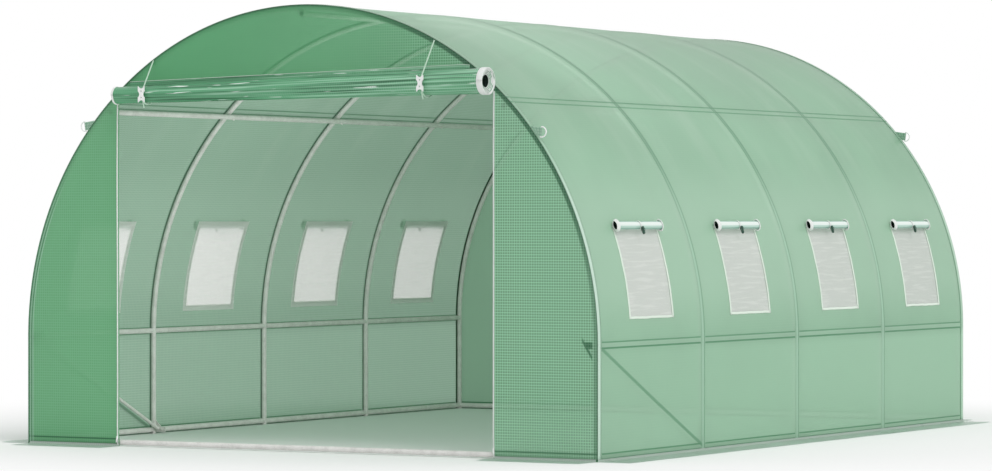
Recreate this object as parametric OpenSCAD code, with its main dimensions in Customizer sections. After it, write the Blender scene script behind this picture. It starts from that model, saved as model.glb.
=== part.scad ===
// Polytunnel greenhouse: a frame of tubular hoops and rails under a fitted film cover.
// Millimetres, +Z up, the doorway faces -Y, origin on the ground under the middle of the tunnel.

/* [Tunnel] */
// Width over the cover
tunnel_w = 3000; // [2600:50:3600]
// Length over the cover
tunnel_l = 4000; // [3000:100:6000]
// Height of the upright walls below the arch
wall_h = 500; // [460:10:700]
// Bays between the hoops
bays = 4; // [4:1:6]

/* [Frame tubes] */
// Outside diameter of the frame tubes
tube_d = 25; // [22:1:32]
// Wall thickness of the frame tubes
tube_wall = 1.2; // [1:0.1:2]
// Height of the joint between a leg and its arch tube
leg_h = 360; // [250:10:400]
// Length of the plug-in tube ends
plug_l = 60; // [30:5:100]
// Height of the base rails' centre line
base_rail_z = 18; // [16:1:30]
// Length of the welded stubs that carry the rails
stub_l = 40; // [20:5:60]
// Angle of the shoulder purlins above the waist
shoulder_angle = 45; // [38:1:52]
// Tubes in each end base rail
end_rail_tubes = 3; // [1:1:4]

/* [Braces] */
// Outside diameter of the diagonal braces
brace_d = 16; // [12:1:20]
// Thickness of the clips and of the flattened brace ends
clip_t = 3; // [2:0.5:4]
// Height of a clip's saddle
clip_h = 30; // [20:1:36]
// Spread of a clip's saddle to each side of its ear, in degrees
saddle_angle = 48; // [30:1:50]
// Distance of a clip's saddle from the rail beside it
clip_space = 5; // [3:1:10]
// Reach of a clip's ear from the tube
ear_reach = 60; // [50:1:80]
// Height of a clip's ear
ear_h = 58; // [40:1:60]
// Distance of the brace from the tube it meets
brace_set = 16; // [14:1:20]
// Distance of the bolt from the tube it holds the brace to
bolt_set = 40; // [36:1:44]
// Diameter of the bolt holes
bolt_d = 6.5; // [5:0.5:8]

/* [Cover] */
// Thickness of the film
film_t = 2; // [1:0.5:3]
// Rise of the film over each hoop
print_t = 0.3; // [0.2:0.1:1]
// Width of the film's rise over each hoop
print_w = 40; // [30:1:60]
// Width of the flaps on the ground
flap_w = 160; // [130:5:250]
// Distance of the end flaps from the corners
flap_set = 10; // [0:5:50]

/* [Doorway] */
// Width of the doorway
door_w = 1970; // [1500:10:2100]
// Drop of the doorway's head below the arch at its sides
door_head_drop = 30; // [10:5:80]
// Width of the zip along each side of the doorway
zip_w = 12; // [8:1:20]
// Thickness of the zips
zip_t = 3; // [2:0.5:5]

/* [Rolled door] */
// Radius of the roll at its right end
roll_r_right = 60; // [45:1:70]
// Radius of the roll at its left end, as a share of the right one
roll_taper_share = 0.69; // [0.6:0.01:1]
// Radius of the open core, as a share of the roll's
roll_core_share = 0.4; // [0.2:0.05:0.5]
// Turns of film in the roll
roll_turns = 6; // [3:1:7]
// Film in each turn, as a share of the turn's pitch
roll_film_share = 0.6; // [0.4:0.05:0.8]
// Height of the roll's right end above the doorway's head
roll_lift_right = 40; // [20:1:50]
// Height of the roll's left end above the doorway's head
roll_lift_left = 7; // [0:1:50]
// Shift of the roll to the right of the doorway's middle
roll_shift = 14; // [0:1:30]

/* [Door ties] */
// Diameter of the tie cords
tie_d = 5; // [3:0.5:8]
// Diameter of a tie above the roll, as a share of its loop's
tie_end_share = 0.8; // [0.6:0.05:0.9]
// Place of the left tie along the roll, as a share of the half doorway
tie_left_share = 0.807; // [0.6:0.001:0.9]
// Place of the right tie along the roll, as a share of the half doorway
tie_right_share = 0.7; // [0.5:0.01:0.9]
// Distance of a tie's upper end from the arch seam
tie_seam_set = 6; // [4:1:60]
// Width of the toggles
toggle_w = 34; // [24:1:44]
// Height of the toggles
toggle_h = 72; // [50:1:90]
// Thickness of the toggles
toggle_t = 6; // [4:0.5:10]
// Depth of the toggles' waist, as a share of their width
toggle_waist_share = 0.22; // [0.1:0.01:0.25]
// Depth of the toggles' end notches, as a share of their height
toggle_notch_share = 0.13; // [0.05:0.01:0.15]
// Distance of the toggles' eyes from the middle, as a share of their height
toggle_eye_share = 0.2; // [0.15:0.01:0.22]
// Diameter of the eyes in the toggles
toggle_eye_d = 7; // [4:0.5:9]

/* [Windows] */
// Width of a window
window_w = 410; // [300:10:500]
// Height of a window along the film
window_h = 410; // [300:10:500]
// Distance of a window's sill from the top of the upright wall
window_sill = 112; // [60:2:150]
// Width of the net's seam around the window
net_seam = 22; // [10:1:40]
// Thickness of the net
net_t = 1; // [0.8:0.1:2]
// Radius of a rolled window flap
flap_roll_r = 20; // [15:1:30]
// Length of a rolled window flap
flap_roll_l = 410; // [300:10:560]
// Radius of a rolled flap's open core, as a share of the roll's
flap_core_share = 0.75; // [0.4:0.05:0.8]
// Turns of film in a rolled window flap
flap_roll_turns = 2; // [2:1:4]
// Distance of the roll's middle below the window's head, along the film
flap_roll_drop = 3; // [0:1:5]
// Diameter of the window tie cords
window_tie_d = 3; // [2:0.5:5]
// Length of a window toggle
peg_l = 34; // [20:1:50]
// Diameter of a window toggle
peg_d = 9; // [6:0.5:14]

/* [Guy tabs] */
// Angle of the front right guy tab above the waist
tab_angle_front_right = 38; // [25:0.5:60]
// Angle of the other guy tabs above the waist
tab_angle = 40.5; // [25:0.5:60]
// Tilt of the guy tabs above the level
tab_tilt = -8; // [-15:1:30]
// Width of a guy tab
tab_w = 38; // [30:1:60]
// Reach of a guy tab from the cover to the middle of its loop
tab_reach = 36; // [25:1:60]
// Diameter of the loop at a tab's end
tab_loop_d = 10; // [9:0.5:14]
// Diameter of the ring's wire
ring_d = 5.5; // [3:0.5:6]
// Radius of the ring's corners, as a share of its wire's diameter
ring_corner_share = 0.6; // [0.55:0.05:1]

/* [Clearances] */
// Gap between pieces that seat against each other
seat_gap = 0.3; // [0.2:0.05:0.4]
// Overrun of every cut past the face it opens
cut_over = 5; // [2:1:10]

/* [Hidden] */
$fn = 40;
arch_fn = 360;
cover_r = tunnel_w / 2;
film_r = cover_r - film_t;
end_y = tunnel_l / 2;
tube_r = tube_d / 2;
bore_d = tube_d - 2 * tube_wall;
plug_d = bore_d - 2 * seat_gap;
plug_bore_d = plug_d - 2 * tube_wall;
hoop_r = film_r - seat_gap - tube_r;
hoop_end_y = end_y - film_t - seat_gap - tube_r;
bay_l = 2 * hoop_end_y / bays;
purlin_r = hoop_r - tube_d - seat_gap;
plug_angle = plug_l / hoop_r * 180 / PI;
gap_angle = seat_gap / hoop_r * 180 / PI;
collar_angle = 2 * tube_wall / hoop_r * 180 / PI;
crown_angle = 90;
far = 2 * cover_r;
panel_r = film_r - seat_gap;
door_half = door_w / 2;
door_head_z = wall_h + sqrt(panel_r * panel_r - door_half * door_half) - door_head_drop;
roll_r_left = roll_r_right * roll_taper_share;
roll_x_right = door_half + roll_shift;
roll_set = tie_d + 2 * seat_gap;
roll_z_right = door_head_z + roll_lift_right;
roll_z_left = door_head_z + roll_lift_left;
roll_y_right = -end_y - roll_set - roll_r_right;
roll_y_left = -end_y - roll_set - roll_r_left;
clip_r = tube_r + seat_gap;
clip_out_r = clip_r + clip_t;
upper_clip_z = wall_h - tube_r - clip_space - clip_h;
lower_clip_z = base_rail_z + tube_r + clip_space;
sill_angle = window_sill / cover_r * 180 / PI;
head_angle = (window_sill + window_h) / cover_r * 180 / PI;
seam_angle = net_seam / cover_r * 180 / PI;
flap_roll_angle = (window_sill + window_h - flap_roll_drop) / cover_r * 180 / PI;
flap_roll_at = cover_r + window_tie_d + 2 * seat_gap + flap_roll_r;
turn_steps = 20;
flap_turn_steps = 24;

steel = [0.66, 0.68, 0.68];
film = [0.53, 0.72, 0.58];
pale_film = [0.74, 0.84, 0.77];
net = [0.85, 0.87, 0.85];
white = [0.92, 0.93, 0.92];
cord = [0.62, 0.76, 0.65];
dark_green = [0.16, 0.34, 0.24];

// Helpers shared by the sub-parts
function hoop_y(i) = -hoop_end_y + i * bay_l;
function bay_y(i) = hoop_y(i) + bay_l / 2;
function turn_pt(r, a) = [r * cos(a), r * sin(a)];
function roll_share(x) = (roll_x_right - x) / door_w;
function roll_r_at(x) = roll_r_right + (roll_r_left - roll_r_right) * roll_share(x);
function roll_y_at(x) = roll_y_right + (roll_y_left - roll_y_right) * roll_share(x);
function roll_z_at(x) = roll_z_right + (roll_z_left - roll_z_right) * roll_share(x);

module annulus(d_out, d_in, facets = $fn) {
    difference() {
        circle(d = d_out, $fn = facets);
        circle(d = d_in, $fn = facets);
    }
}

module straight_tube(l, d_out, d_in) {
    linear_extrude(height = l) annulus(d_out, d_in);
}

module bent_rod(r, a0, a1, d) {
    rotate([90, 0, 0])
        rotate([0, 0, a0])
        rotate_extrude(angle = a1 - a0)
        translate([r, 0])
        rotate(180)
        circle(d = d);
}

module arc_rod(a0, a1, d) {
    translate([0, 0, wall_h]) bent_rod(hoop_r, a0, a1, d);
}

module leg_rod(z0, z1, d) {
    translate([hoop_r, 0, z0]) cylinder(d = d, h = z1 - z0);
}

module stub(turn, z) {
    translate([hoop_r, 0, z])
        rotate([0, 0, turn])
        rotate([-90, 0, 0])
        cylinder(d = plug_d, h = tube_r + stub_l);
}

module tube_run(l, count) {
    piece_l = l / count;
    for (i = [0 : count - 1]) {
        last = i == count - 1;
        own_l = last ? piece_l : piece_l - seat_gap;
        collar_l = 2 * tube_wall;
        translate([0, 0, i * piece_l])
            union() {
                straight_tube(own_l, tube_d, bore_d);
                if (!last) {
                    translate([0, 0, own_l - collar_l])
                        straight_tube(collar_l, tube_d, plug_bore_d);
                    translate([0, 0, own_l - collar_l])
                        straight_tube(collar_l + plug_l, plug_d, plug_bore_d);
                }
            }
    }
}

// Hoops: on each side a leg, a lower arch tube and an upper one, plugged into each other
module hoop_leg(front, rear) {
    difference() {
        union() {
            leg_rod(0, leg_h - seat_gap, tube_d);
            if (rear) stub(0, base_rail_z);
            if (front) stub(180, base_rail_z);
            if (!front || !rear) stub(90, base_rail_z);
        }
        leg_rod(-cut_over, leg_h + cut_over, bore_d);
    }
}

module lower_arch(front, rear) {
    difference() {
        union() {
            leg_rod(leg_h, wall_h, tube_d);
            leg_rod(leg_h - plug_l, leg_h + tube_wall, plug_d);
            arc_rod(0, shoulder_angle - gap_angle, tube_d);
            if (rear) stub(0, wall_h);
            if (front) stub(180, wall_h);
        }
        leg_rod(leg_h - plug_l - cut_over, leg_h + 3 * tube_wall, plug_bore_d);
        leg_rod(leg_h + 2 * tube_wall, wall_h, bore_d);
        arc_rod(0, shoulder_angle + collar_angle, bore_d);
    }
}

module upper_arch(crown_plug) {
    end_angle = crown_angle - gap_angle;
    bore_end_angle = crown_plug ? end_angle - collar_angle : end_angle + collar_angle;
    difference() {
        union() {
            arc_rod(shoulder_angle - plug_angle, shoulder_angle + collar_angle / 2, plug_d);
            arc_rod(shoulder_angle, end_angle, tube_d);
            if (crown_plug) arc_rod(end_angle - collar_angle / 2, crown_angle + plug_angle, plug_d);
        }
        arc_rod(shoulder_angle - plug_angle - collar_angle, shoulder_angle + 2 * collar_angle, plug_bore_d);
        arc_rod(shoulder_angle + collar_angle, bore_end_angle, bore_d);
        if (crown_plug)
            arc_rod(end_angle - 2 * collar_angle, crown_angle + plug_angle + collar_angle, plug_bore_d);
    }
}

module hoop_side(front, rear, crown_plug) {
    hoop_leg(front, rear);
    lower_arch(front, rear);
    upper_arch(crown_plug);
}

module hoop(i) {
    color(steel)
        translate([0, hoop_y(i), 0]) {
            hoop_side(i > 0, i < bays, true);
            mirror([1, 0, 0]) hoop_side(i > 0, i < bays, false);
        }
}

module front_hoop() {
    hoop(0);
}

module second_hoop() {
    hoop(1);
}

module middle_hoop() {
    for (i = [2 : 1 : bays - 2]) hoop(i);
}

module fourth_hoop() {
    hoop(bays - 1);
}

module rear_hoop() {
    hoop(bays);
}

// Purlins: straight runs bolted under the hoops
module purlin(angle) {
    color(steel)
        translate([purlin_r * cos(angle), -hoop_end_y - tube_r, wall_h + purlin_r * sin(angle)])
        rotate([-90, 0, 0])
        tube_run(2 * hoop_end_y + tube_d, bays);
}

module ridge_purlin() {
    purlin(crown_angle);
}

module right_shoulder_purlin() {
    purlin(shoulder_angle);
}

module left_shoulder_purlin() {
    purlin(180 - shoulder_angle);
}

// Waist and base rails: one tube in each bay, pushed over the stubs on the legs
module side_rail(x, z) {
    color(steel)
        for (i = [0 : bays - 1])
            translate([x, hoop_y(i) + tube_r + seat_gap, z])
            rotate([-90, 0, 0])
            straight_tube(bay_l - tube_d - 2 * seat_gap, tube_d, bore_d);
}

module right_waist_rail() {
    side_rail(hoop_r, wall_h);
}

module left_waist_rail() {
    side_rail(-hoop_r, wall_h);
}

module right_base_rail() {
    side_rail(hoop_r, base_rail_z);
}

module left_base_rail() {
    side_rail(-hoop_r, base_rail_z);
}

module end_rail(y) {
    rail_half = hoop_r - tube_r - seat_gap;
    color(steel)
        translate([-rail_half, y, base_rail_z])
        rotate([0, 90, 0])
        tube_run(2 * rail_half, end_rail_tubes);
}

module front_base_rail() {
    end_rail(-hoop_end_y);
}

module rear_base_rail() {
    end_rail(hoop_end_y);
}

// Braces: a clip with an ear on each tube, and a tube with flattened ends between the ears
module clip_ear(drop) {
    points = [
        [clip_r, 0],
        [tube_r + ear_reach, ear_h],
        [clip_r, ear_h]
    ];
    translate([0, clip_t / 2, drop ? clip_h : 0])
        mirror([0, 0, drop ? 1 : 0])
        rotate([90, 0, 0])
        linear_extrude(height = clip_t)
        polygon([for (p = points) [-p[0], p[1]]]);
}

module clip_saddle() {
    linear_extrude(height = clip_h)
        intersection() {
            annulus(2 * clip_out_r, 2 * clip_r);
            wedge(180 - saddle_angle, 180 + saddle_angle);
        }
}

module brace_clip(y, z, drop) {
    ear_mid_z = drop ? clip_h - ear_h + brace_d : ear_h - brace_d;
    color(steel)
        translate([hoop_r, y, z])
        difference() {
            union() {
                clip_saddle();
                clip_ear(drop);
            }
            translate([-tube_r - bolt_set, -cut_over, ear_mid_z])
                rotate([-90, 0, 0])
                cylinder(d = bolt_d, h = 2 * cut_over);
        }
}

module brace_clips() {
    brace_clip(hoop_y(0), upper_clip_z, false);
    brace_clip(hoop_y(1), lower_clip_z, true);
}

module brace_tab(y, z) {
    tab_l = ear_reach - brace_set + brace_d / 2;
    translate([hoop_r - tube_r - brace_set + brace_d / 2 - tab_l, y, z - brace_d / 2])
        difference() {
            cube([tab_l, clip_t, brace_d]);
            translate([ear_reach - bolt_set, -cut_over, brace_d / 2])
                rotate([-90, 0, 0])
                cylinder(d = bolt_d, h = clip_t + 2 * cut_over);
        }
}

module brace() {
    y0 = hoop_y(0) + clip_t / 2 + seat_gap;
    y1 = hoop_y(1) - clip_t / 2 - seat_gap;
    z0 = upper_clip_z + ear_h - brace_d;
    z1 = lower_clip_z + clip_h - ear_h + brace_d;
    run = norm([y1 - y0, z1 - z0]);
    turn = atan2(z0 - z1, y1 - y0);
    color(steel)
        union() {
            brace_tab(y0, z0);
            brace_tab(y1 - clip_t, z1);
            intersection() {
                translate([hoop_r - tube_r - brace_set, y0, z0])
                    rotate([-90 - turn, 0, 0])
                    translate([0, 0, -tube_d])
                    straight_tube(run + 2 * tube_d, brace_d, brace_d - 2 * tube_wall);
                translate([0, y0 + clip_t / 2, -tube_d])
                    cube([far, y1 - y0 - clip_t, wall_h + 2 * tube_d]);
            }
        }
}

module right_brace_clips() {
    brace_clips();
}

module left_brace_clips() {
    mirror([1, 0, 0]) brace_clips();
}

module right_brace() {
    brace();
}

module left_brace() {
    mirror([1, 0, 0]) brace();
}

// Film over the hoops: an upright wall, a strip with the windows and a roof strip on each side
module wedge(a0, a1) {
    polygon([[0, 0], turn_pt(far, a0), turn_pt(far, a1)]);
}

module arch_sheet(a0, a1, r_out, t, l) {
    translate([0, l / 2, wall_h])
        rotate([90, 0, 0])
        linear_extrude(height = l)
        intersection() {
            annulus(2 * r_out, 2 * (r_out - t), arch_fn);
            wedge(a0, a1);
        }
}

module wall_film() {
    color(film)
        translate([film_r, -end_y, 0])
        cube([film_t, tunnel_l, wall_h]);
}

module window_film() {
    mid_angle = (sill_angle + head_angle) / 2;
    color(film)
        difference() {
            union() {
                arch_sheet(0, shoulder_angle, cover_r, film_t, tunnel_l);
                for (i = [1 : bays - 1])
                    translate([0, hoop_y(i), 0])
                    arch_sheet(0, shoulder_angle, cover_r + print_t, film_t, print_w);
            }
            for (i = [1 : bays - 1])
                translate([0, hoop_y(i), 0])
                arch_sheet(-collar_angle, shoulder_angle + collar_angle, film_r + print_t, 2 * print_t, print_w);
            for (i = [0 : bays - 1])
                translate([0, bay_y(i), wall_h])
                rotate([0, -mid_angle, 0])
                translate([film_r - window_h / 4, -window_w / 2, -window_h / 2])
                cube([window_h / 2, window_w, window_h]);
        }
}

module roof_film() {
    color(film)
        arch_sheet(shoulder_angle, crown_angle, cover_r, film_t, tunnel_l);
}

module right_wall_film() {
    wall_film();
}

module left_wall_film() {
    mirror([1, 0, 0]) wall_film();
}

module right_window_film() {
    window_film();
}

module left_window_film() {
    mirror([1, 0, 0]) window_film();
}

module right_roof_film() {
    roof_film();
}

module left_roof_film() {
    mirror([1, 0, 0]) roof_film();
}

// End walls: two panels beside the doorway, a header over it and a whole rear wall
module end_outline() {
    translate([0, wall_h]) circle(r = panel_r, $fn = arch_fn);
    translate([-panel_r, 0]) square([2 * panel_r, wall_h]);
}

module end_sheet(y, x0, x1, z0) {
    color(film)
        translate([0, y + film_t, 0])
        rotate([90, 0, 0])
        linear_extrude(height = film_t)
        intersection() {
            end_outline();
            translate([x0, z0]) square([x1 - x0, far]);
        }
}

module front_left_film() {
    end_sheet(-end_y, -far, -door_half, 0);
}

module front_right_film() {
    end_sheet(-end_y, door_half, far, 0);
}

module front_header_film() {
    end_sheet(-end_y, -door_half, door_half, door_head_z);
}

module rear_film() {
    end_sheet(end_y - film_t, -far, far, 0);
}

// Flaps that lie on the ground around the cover
module ground_flap(x0, y0, w, l) {
    color(pale_film)
        translate([x0, y0, 0])
        cube([w, l, film_t]);
}

module right_ground_flap() {
    ground_flap(cover_r, -end_y, flap_w, tunnel_l);
}

module left_ground_flap() {
    ground_flap(-cover_r - flap_w, -end_y, flap_w, tunnel_l);
}

module front_left_ground_flap() {
    ground_flap(-cover_r + flap_set, -end_y - flap_w, cover_r - flap_set - door_half, flap_w);
}

module front_right_ground_flap() {
    ground_flap(door_half, -end_y - flap_w, cover_r - flap_set - door_half, flap_w);
}

module rear_ground_flap() {
    ground_flap(-cover_r + flap_set, end_y, 2 * (cover_r - flap_set), flap_w);
}

// Windows: a net behind each cut-out, the film of the flap rolled up above it, and its tie
module window_nets() {
    color(net)
        for (i = [0 : bays - 1])
            translate([0, bay_y(i), 0])
            arch_sheet(sill_angle - seam_angle, head_angle + seam_angle,
                film_r - seat_gap, net_t, window_w + 2 * net_seam);
}

module scroll(r_out, core_share, turns, steps, film_share) {
    core = r_out * core_share;
    pitch = (r_out - core) / turns;
    count = turns * steps;
    outer = [for (k = [0 : count]) turn_pt(core + pitch * k / steps, 360 * k / steps)];
    inner = [for (k = [count : -1 : 0])
        turn_pt(core + pitch * (k / steps - film_share), 360 * k / steps)];
    polygon(concat(outer, inner));
}

module at_flap_roll(i) {
    translate([0, bay_y(i), wall_h])
        rotate([0, -flap_roll_angle, 0])
        translate([flap_roll_at, 0, 0])
        children();
}

module window_rolls() {
    color(pale_film)
        for (i = [0 : bays - 1])
            at_flap_roll(i)
            translate([0, flap_roll_l / 2, 0])
            rotate([90, 0, 0])
            rotate([0, 0, 180])
            linear_extrude(height = flap_roll_l)
            scroll(flap_roll_r, flap_core_share, flap_roll_turns, flap_turn_steps, roll_film_share);
}

module window_ties() {
    ring_r = flap_roll_r + seat_gap + window_tie_d / 2;
    color(dark_green)
        for (i = [0 : bays - 1])
            at_flap_roll(i) {
                rotate([90, 0, 0])
                    rotate_extrude()
                    translate([ring_r, 0])
                    circle(d = window_tie_d);
                rotate([0, flap_roll_angle, 0])
                    translate([ring_r + window_tie_d / 2, 0, -peg_l])
                    cylinder(d = peg_d, h = peg_l);
            }
}

module right_window_nets() {
    window_nets();
}

module left_window_nets() {
    mirror([1, 0, 0]) window_nets();
}

module right_window_rolls() {
    window_rolls();
}

module left_window_rolls() {
    mirror([1, 0, 0]) window_rolls();
}

module right_window_ties() {
    window_ties();
}

module left_window_ties() {
    mirror([1, 0, 0]) window_ties();
}

// Door rolled up over the doorway, tapering from right to left
module rolled_door() {
    d = [door_w, roll_y_right - roll_y_left, roll_z_right - roll_z_left];
    color(film)
        translate([roll_x_right, roll_y_right, roll_z_right])
        rotate([0, -atan2(d[2], d[0]), atan2(d[1], d[0])])
        rotate([0, -90, 0])
        rotate([0, 0, 90])
        linear_extrude(height = norm(d), scale = roll_taper_share)
        scroll(roll_r_right, roll_core_share, roll_turns, turn_steps, roll_film_share);
}

module cord_to(p0, p1) {
    v = p1 - p0;
    translate(p0)
        rotate([0, acos(v[2] / norm(v)), atan2(v[1], v[0])])
        cylinder(d = tie_d * tie_end_share, h = norm(v));
}

module door_tie(x) {
    ring_r = roll_r_at(x) + seat_gap + tie_d / 2;
    mid = [x, roll_y_at(x), roll_z_at(x)];
    top_r = panel_r - tie_seam_set;
    top = [x, -end_y - seat_gap - tie_d / 2, wall_h + sqrt(top_r * top_r - x * x)];
    reach = [top[1] - mid[1], top[2] - mid[2]];
    turn = atan2(reach[1], reach[0]);
    touch = [x, mid[1] + ring_r * cos(turn), mid[2] + ring_r * sin(turn)];
    color(cord)
        union() {
            translate(mid)
                rotate([0, 90, 0])
                rotate_extrude()
                translate([ring_r, 0])
                circle(d = tie_d);
            cord_to(touch, top);
        }
}

module door_ties() {
    door_tie(-door_half * tie_left_share);
    door_tie(door_half * tie_right_share);
}

module toggle_outline() {
    difference() {
        square([toggle_w, toggle_h], center = true);
        for (s = [-1, 1]) {
            translate([s * toggle_w * (1 - toggle_waist_share), 0]) circle(r = toggle_w / 2);
            translate([0, s * toggle_h * (3 / 4 - toggle_notch_share)]) circle(r = toggle_h / 4);
            translate([0, s * toggle_h * toggle_eye_share]) circle(d = toggle_eye_d);
        }
    }
}

module door_toggle(x) {
    front = roll_r_at(x) + 2 * seat_gap + tie_d;
    color(white)
        translate([x, roll_y_at(x) - front, roll_z_at(x)])
        rotate([90, 0, 0])
        linear_extrude(height = toggle_t)
        toggle_outline();
}

module door_toggles() {
    door_toggle(-door_half * tie_left_share);
    door_toggle(door_half * tie_right_share);
}

module door_zips() {
    color(white)
        for (s = [0, 1])
            mirror([s, 0, 0])
            translate([door_half, -end_y - zip_t, film_t])
            cube([zip_w, zip_t, door_head_z - film_t]);
}

// Guy tabs: a short tab of film at each end of both sides, with a ring through its loop
module at_tab(s, y, angle) {
    mirror([s, 0, 0])
        translate([cover_r * cos(angle), y, wall_h + cover_r * sin(angle)])
        rotate([0, -tab_tilt, 0])
        children();
}

module each_tab() {
    y = end_y - tab_loop_d / 2;
    at_tab(0, -y, tab_angle_front_right) children();
    at_tab(0, y, tab_angle) children();
    at_tab(1, -y, tab_angle) children();
    at_tab(1, y, tab_angle) children();
}

module tab_solid() {
    difference() {
        union() {
            translate([-tab_reach, -film_t / 2, -tab_w / 2]) cube([2 * tab_reach, film_t, tab_w]);
            translate([tab_reach, 0, -tab_w / 2]) cylinder(d = tab_loop_d, h = tab_w);
        }
        translate([tab_reach, 0, -tab_w / 2 - cut_over])
            cylinder(d = ring_d + 4 * seat_gap, h = tab_w + 2 * cut_over);
    }
}

module guy_tabs() {
    color(film)
        difference() {
            each_tab() tab_solid();
            translate([0, end_y + cut_over, wall_h])
                rotate([90, 0, 0])
                cylinder(r = cover_r + seat_gap, h = tunnel_l + 2 * cut_over, $fn = arch_fn);
        }
}

module guy_ring() {
    corner_r = ring_d * ring_corner_share;
    bar_half = tab_w / 2 + seat_gap;
    translate([tab_reach, 0, -bar_half]) cylinder(d = ring_d, h = 2 * bar_half);
    for (s = [0, 1])
        mirror([0, 0, s])
        translate([tab_reach + corner_r, 0, bar_half])
        bent_rod(corner_r, 90, 180, ring_d);
    translate([tab_reach + corner_r, 0, 0]) bent_rod(bar_half + corner_r, -90, 90, ring_d);
}

module guy_rings() {
    color(white) each_tab() guy_ring();
}

front_hoop();
second_hoop();
middle_hoop();
fourth_hoop();
rear_hoop();
ridge_purlin();
left_shoulder_purlin();
right_shoulder_purlin();
left_waist_rail();
right_waist_rail();
left_base_rail();
right_base_rail();
front_base_rail();
rear_base_rail();
left_brace();
right_brace();
left_brace_clips();
right_brace_clips();
left_wall_film();
right_wall_film();
left_window_film();
right_window_film();
left_roof_film();
right_roof_film();
front_left_film();
front_right_film();
front_header_film();
rear_film();
left_ground_flap();
right_ground_flap();
front_left_ground_flap();
front_right_ground_flap();
rear_ground_flap();
left_window_nets();
right_window_nets();
left_window_rolls();
right_window_rolls();
left_window_ties();
right_window_ties();
rolled_door();
door_ties();
door_toggles();
door_zips();
guy_tabs();
guy_rings();
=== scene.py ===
from math import acos, atan2, ceil, cos, exp, hypot, pi, radians, sin, sqrt, tan

import bmesh
import bpy
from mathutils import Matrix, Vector, noise


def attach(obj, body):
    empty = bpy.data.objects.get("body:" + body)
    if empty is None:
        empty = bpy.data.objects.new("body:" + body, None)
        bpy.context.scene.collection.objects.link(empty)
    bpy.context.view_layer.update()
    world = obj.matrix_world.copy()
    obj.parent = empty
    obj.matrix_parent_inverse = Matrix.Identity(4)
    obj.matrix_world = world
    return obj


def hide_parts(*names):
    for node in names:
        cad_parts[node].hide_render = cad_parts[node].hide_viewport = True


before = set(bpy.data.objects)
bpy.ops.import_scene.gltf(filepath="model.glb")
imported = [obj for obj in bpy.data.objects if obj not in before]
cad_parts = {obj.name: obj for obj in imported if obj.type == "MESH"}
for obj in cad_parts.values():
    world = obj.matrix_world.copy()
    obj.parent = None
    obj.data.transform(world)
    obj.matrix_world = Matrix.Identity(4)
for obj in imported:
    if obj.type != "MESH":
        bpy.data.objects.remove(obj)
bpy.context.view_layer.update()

# Sizes in metres, as the solids have them
COVER_R = 1.5
FILM_R = 1.499
PANEL_R = 1.4977
WALL_H = 0.5
END_Y = 2.0
END_FILM_Y = 1.999
HOOP_R = 1.4852
HOOP_END_Y = 1.9852
TUBE_R = 0.0125
PURLIN_R = 1.4599
PURLIN_TURNS = [radians(degrees) for degrees in (45, 90, 135)]
BAYS = 4
BAY_L = 2 * HOOP_END_Y / BAYS
HOOP_YS = [-HOOP_END_Y + BAY_L * k for k in range(BAYS + 1)]
BAY_YS = [y + BAY_L / 2 for y in HOOP_YS[:-1]]
SKIN_L = 2 * WALL_H + pi * COVER_R
DOOR_HALF = 0.985
DOOR_HEAD_Z = 1.5982
FLAP_W = 0.16
FLAP_SET = 0.01
WINDOW = 0.41
WINDOW_SILL = 0.112
NET_SEAM = 0.022
ROLL_RIGHT = Vector((0.999, -2.0656, 1.6382))
ROLL_LEFT = Vector((-0.971, -2.047, 1.6052))
ROLL_R = 0.06
ROLL_TAPER = 0.69
ROLL_CORE = 0.024
ROLL_TURNS = 6
DOOR_CUT_H = 1.6
CURL_R = 0.02
CURL_CORE = 0.015
CURL_TURNS = 4
CURL_L = 0.422
CURL_AT = 1.5236
CURL_ANGLE = (WINDOW_SILL + WINDOW - 0.003) / COVER_R
FLAP_CUT_H = 0.44

# Places of the tubes behind the film, in metres
BASE_MARK_Z = 0.022
PURLIN_MARK_Z = WALL_H + COVER_R * sin(PURLIN_TURNS[0])
BRACE_TOP = (-1.9835, 0.4945)
BRACE_FOOT = (-0.9943, 0.0235)
CLIP_X = (1.438, 1.47)
CLIP_Z = (0.487, 0.512)
EAR_TOP = (1.424, 0.52)
EAR_FOOT = (1.469, 0.448)

UV_MAP = "Cloth"
RIPSTOP = 0.012
X, Y, Z = Vector((1, 0, 0)), Vector((0, 1, 0)), Vector((0, 0, 1))


# Node trees
def add(tree, kind, inputs=None, **props):
    """A new node, whose inputs are linked to sockets and fields or set to plain values."""
    made = tree.nodes.new("ShaderNode" + kind)
    for key, value in props.items():
        setattr(made, key, value)
    for key, value in (inputs or {}).items():
        value = getattr(value, "socket", value)
        if isinstance(value, bpy.types.NodeSocket):
            tree.links.new(value, made.inputs[key])
        else:
            made.inputs[key].default_value = value
    return made


def by_node(operation):
    """A method that works out a field and another value by one math node."""
    return lambda field, other=0: field.math(operation, field, other)


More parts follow.
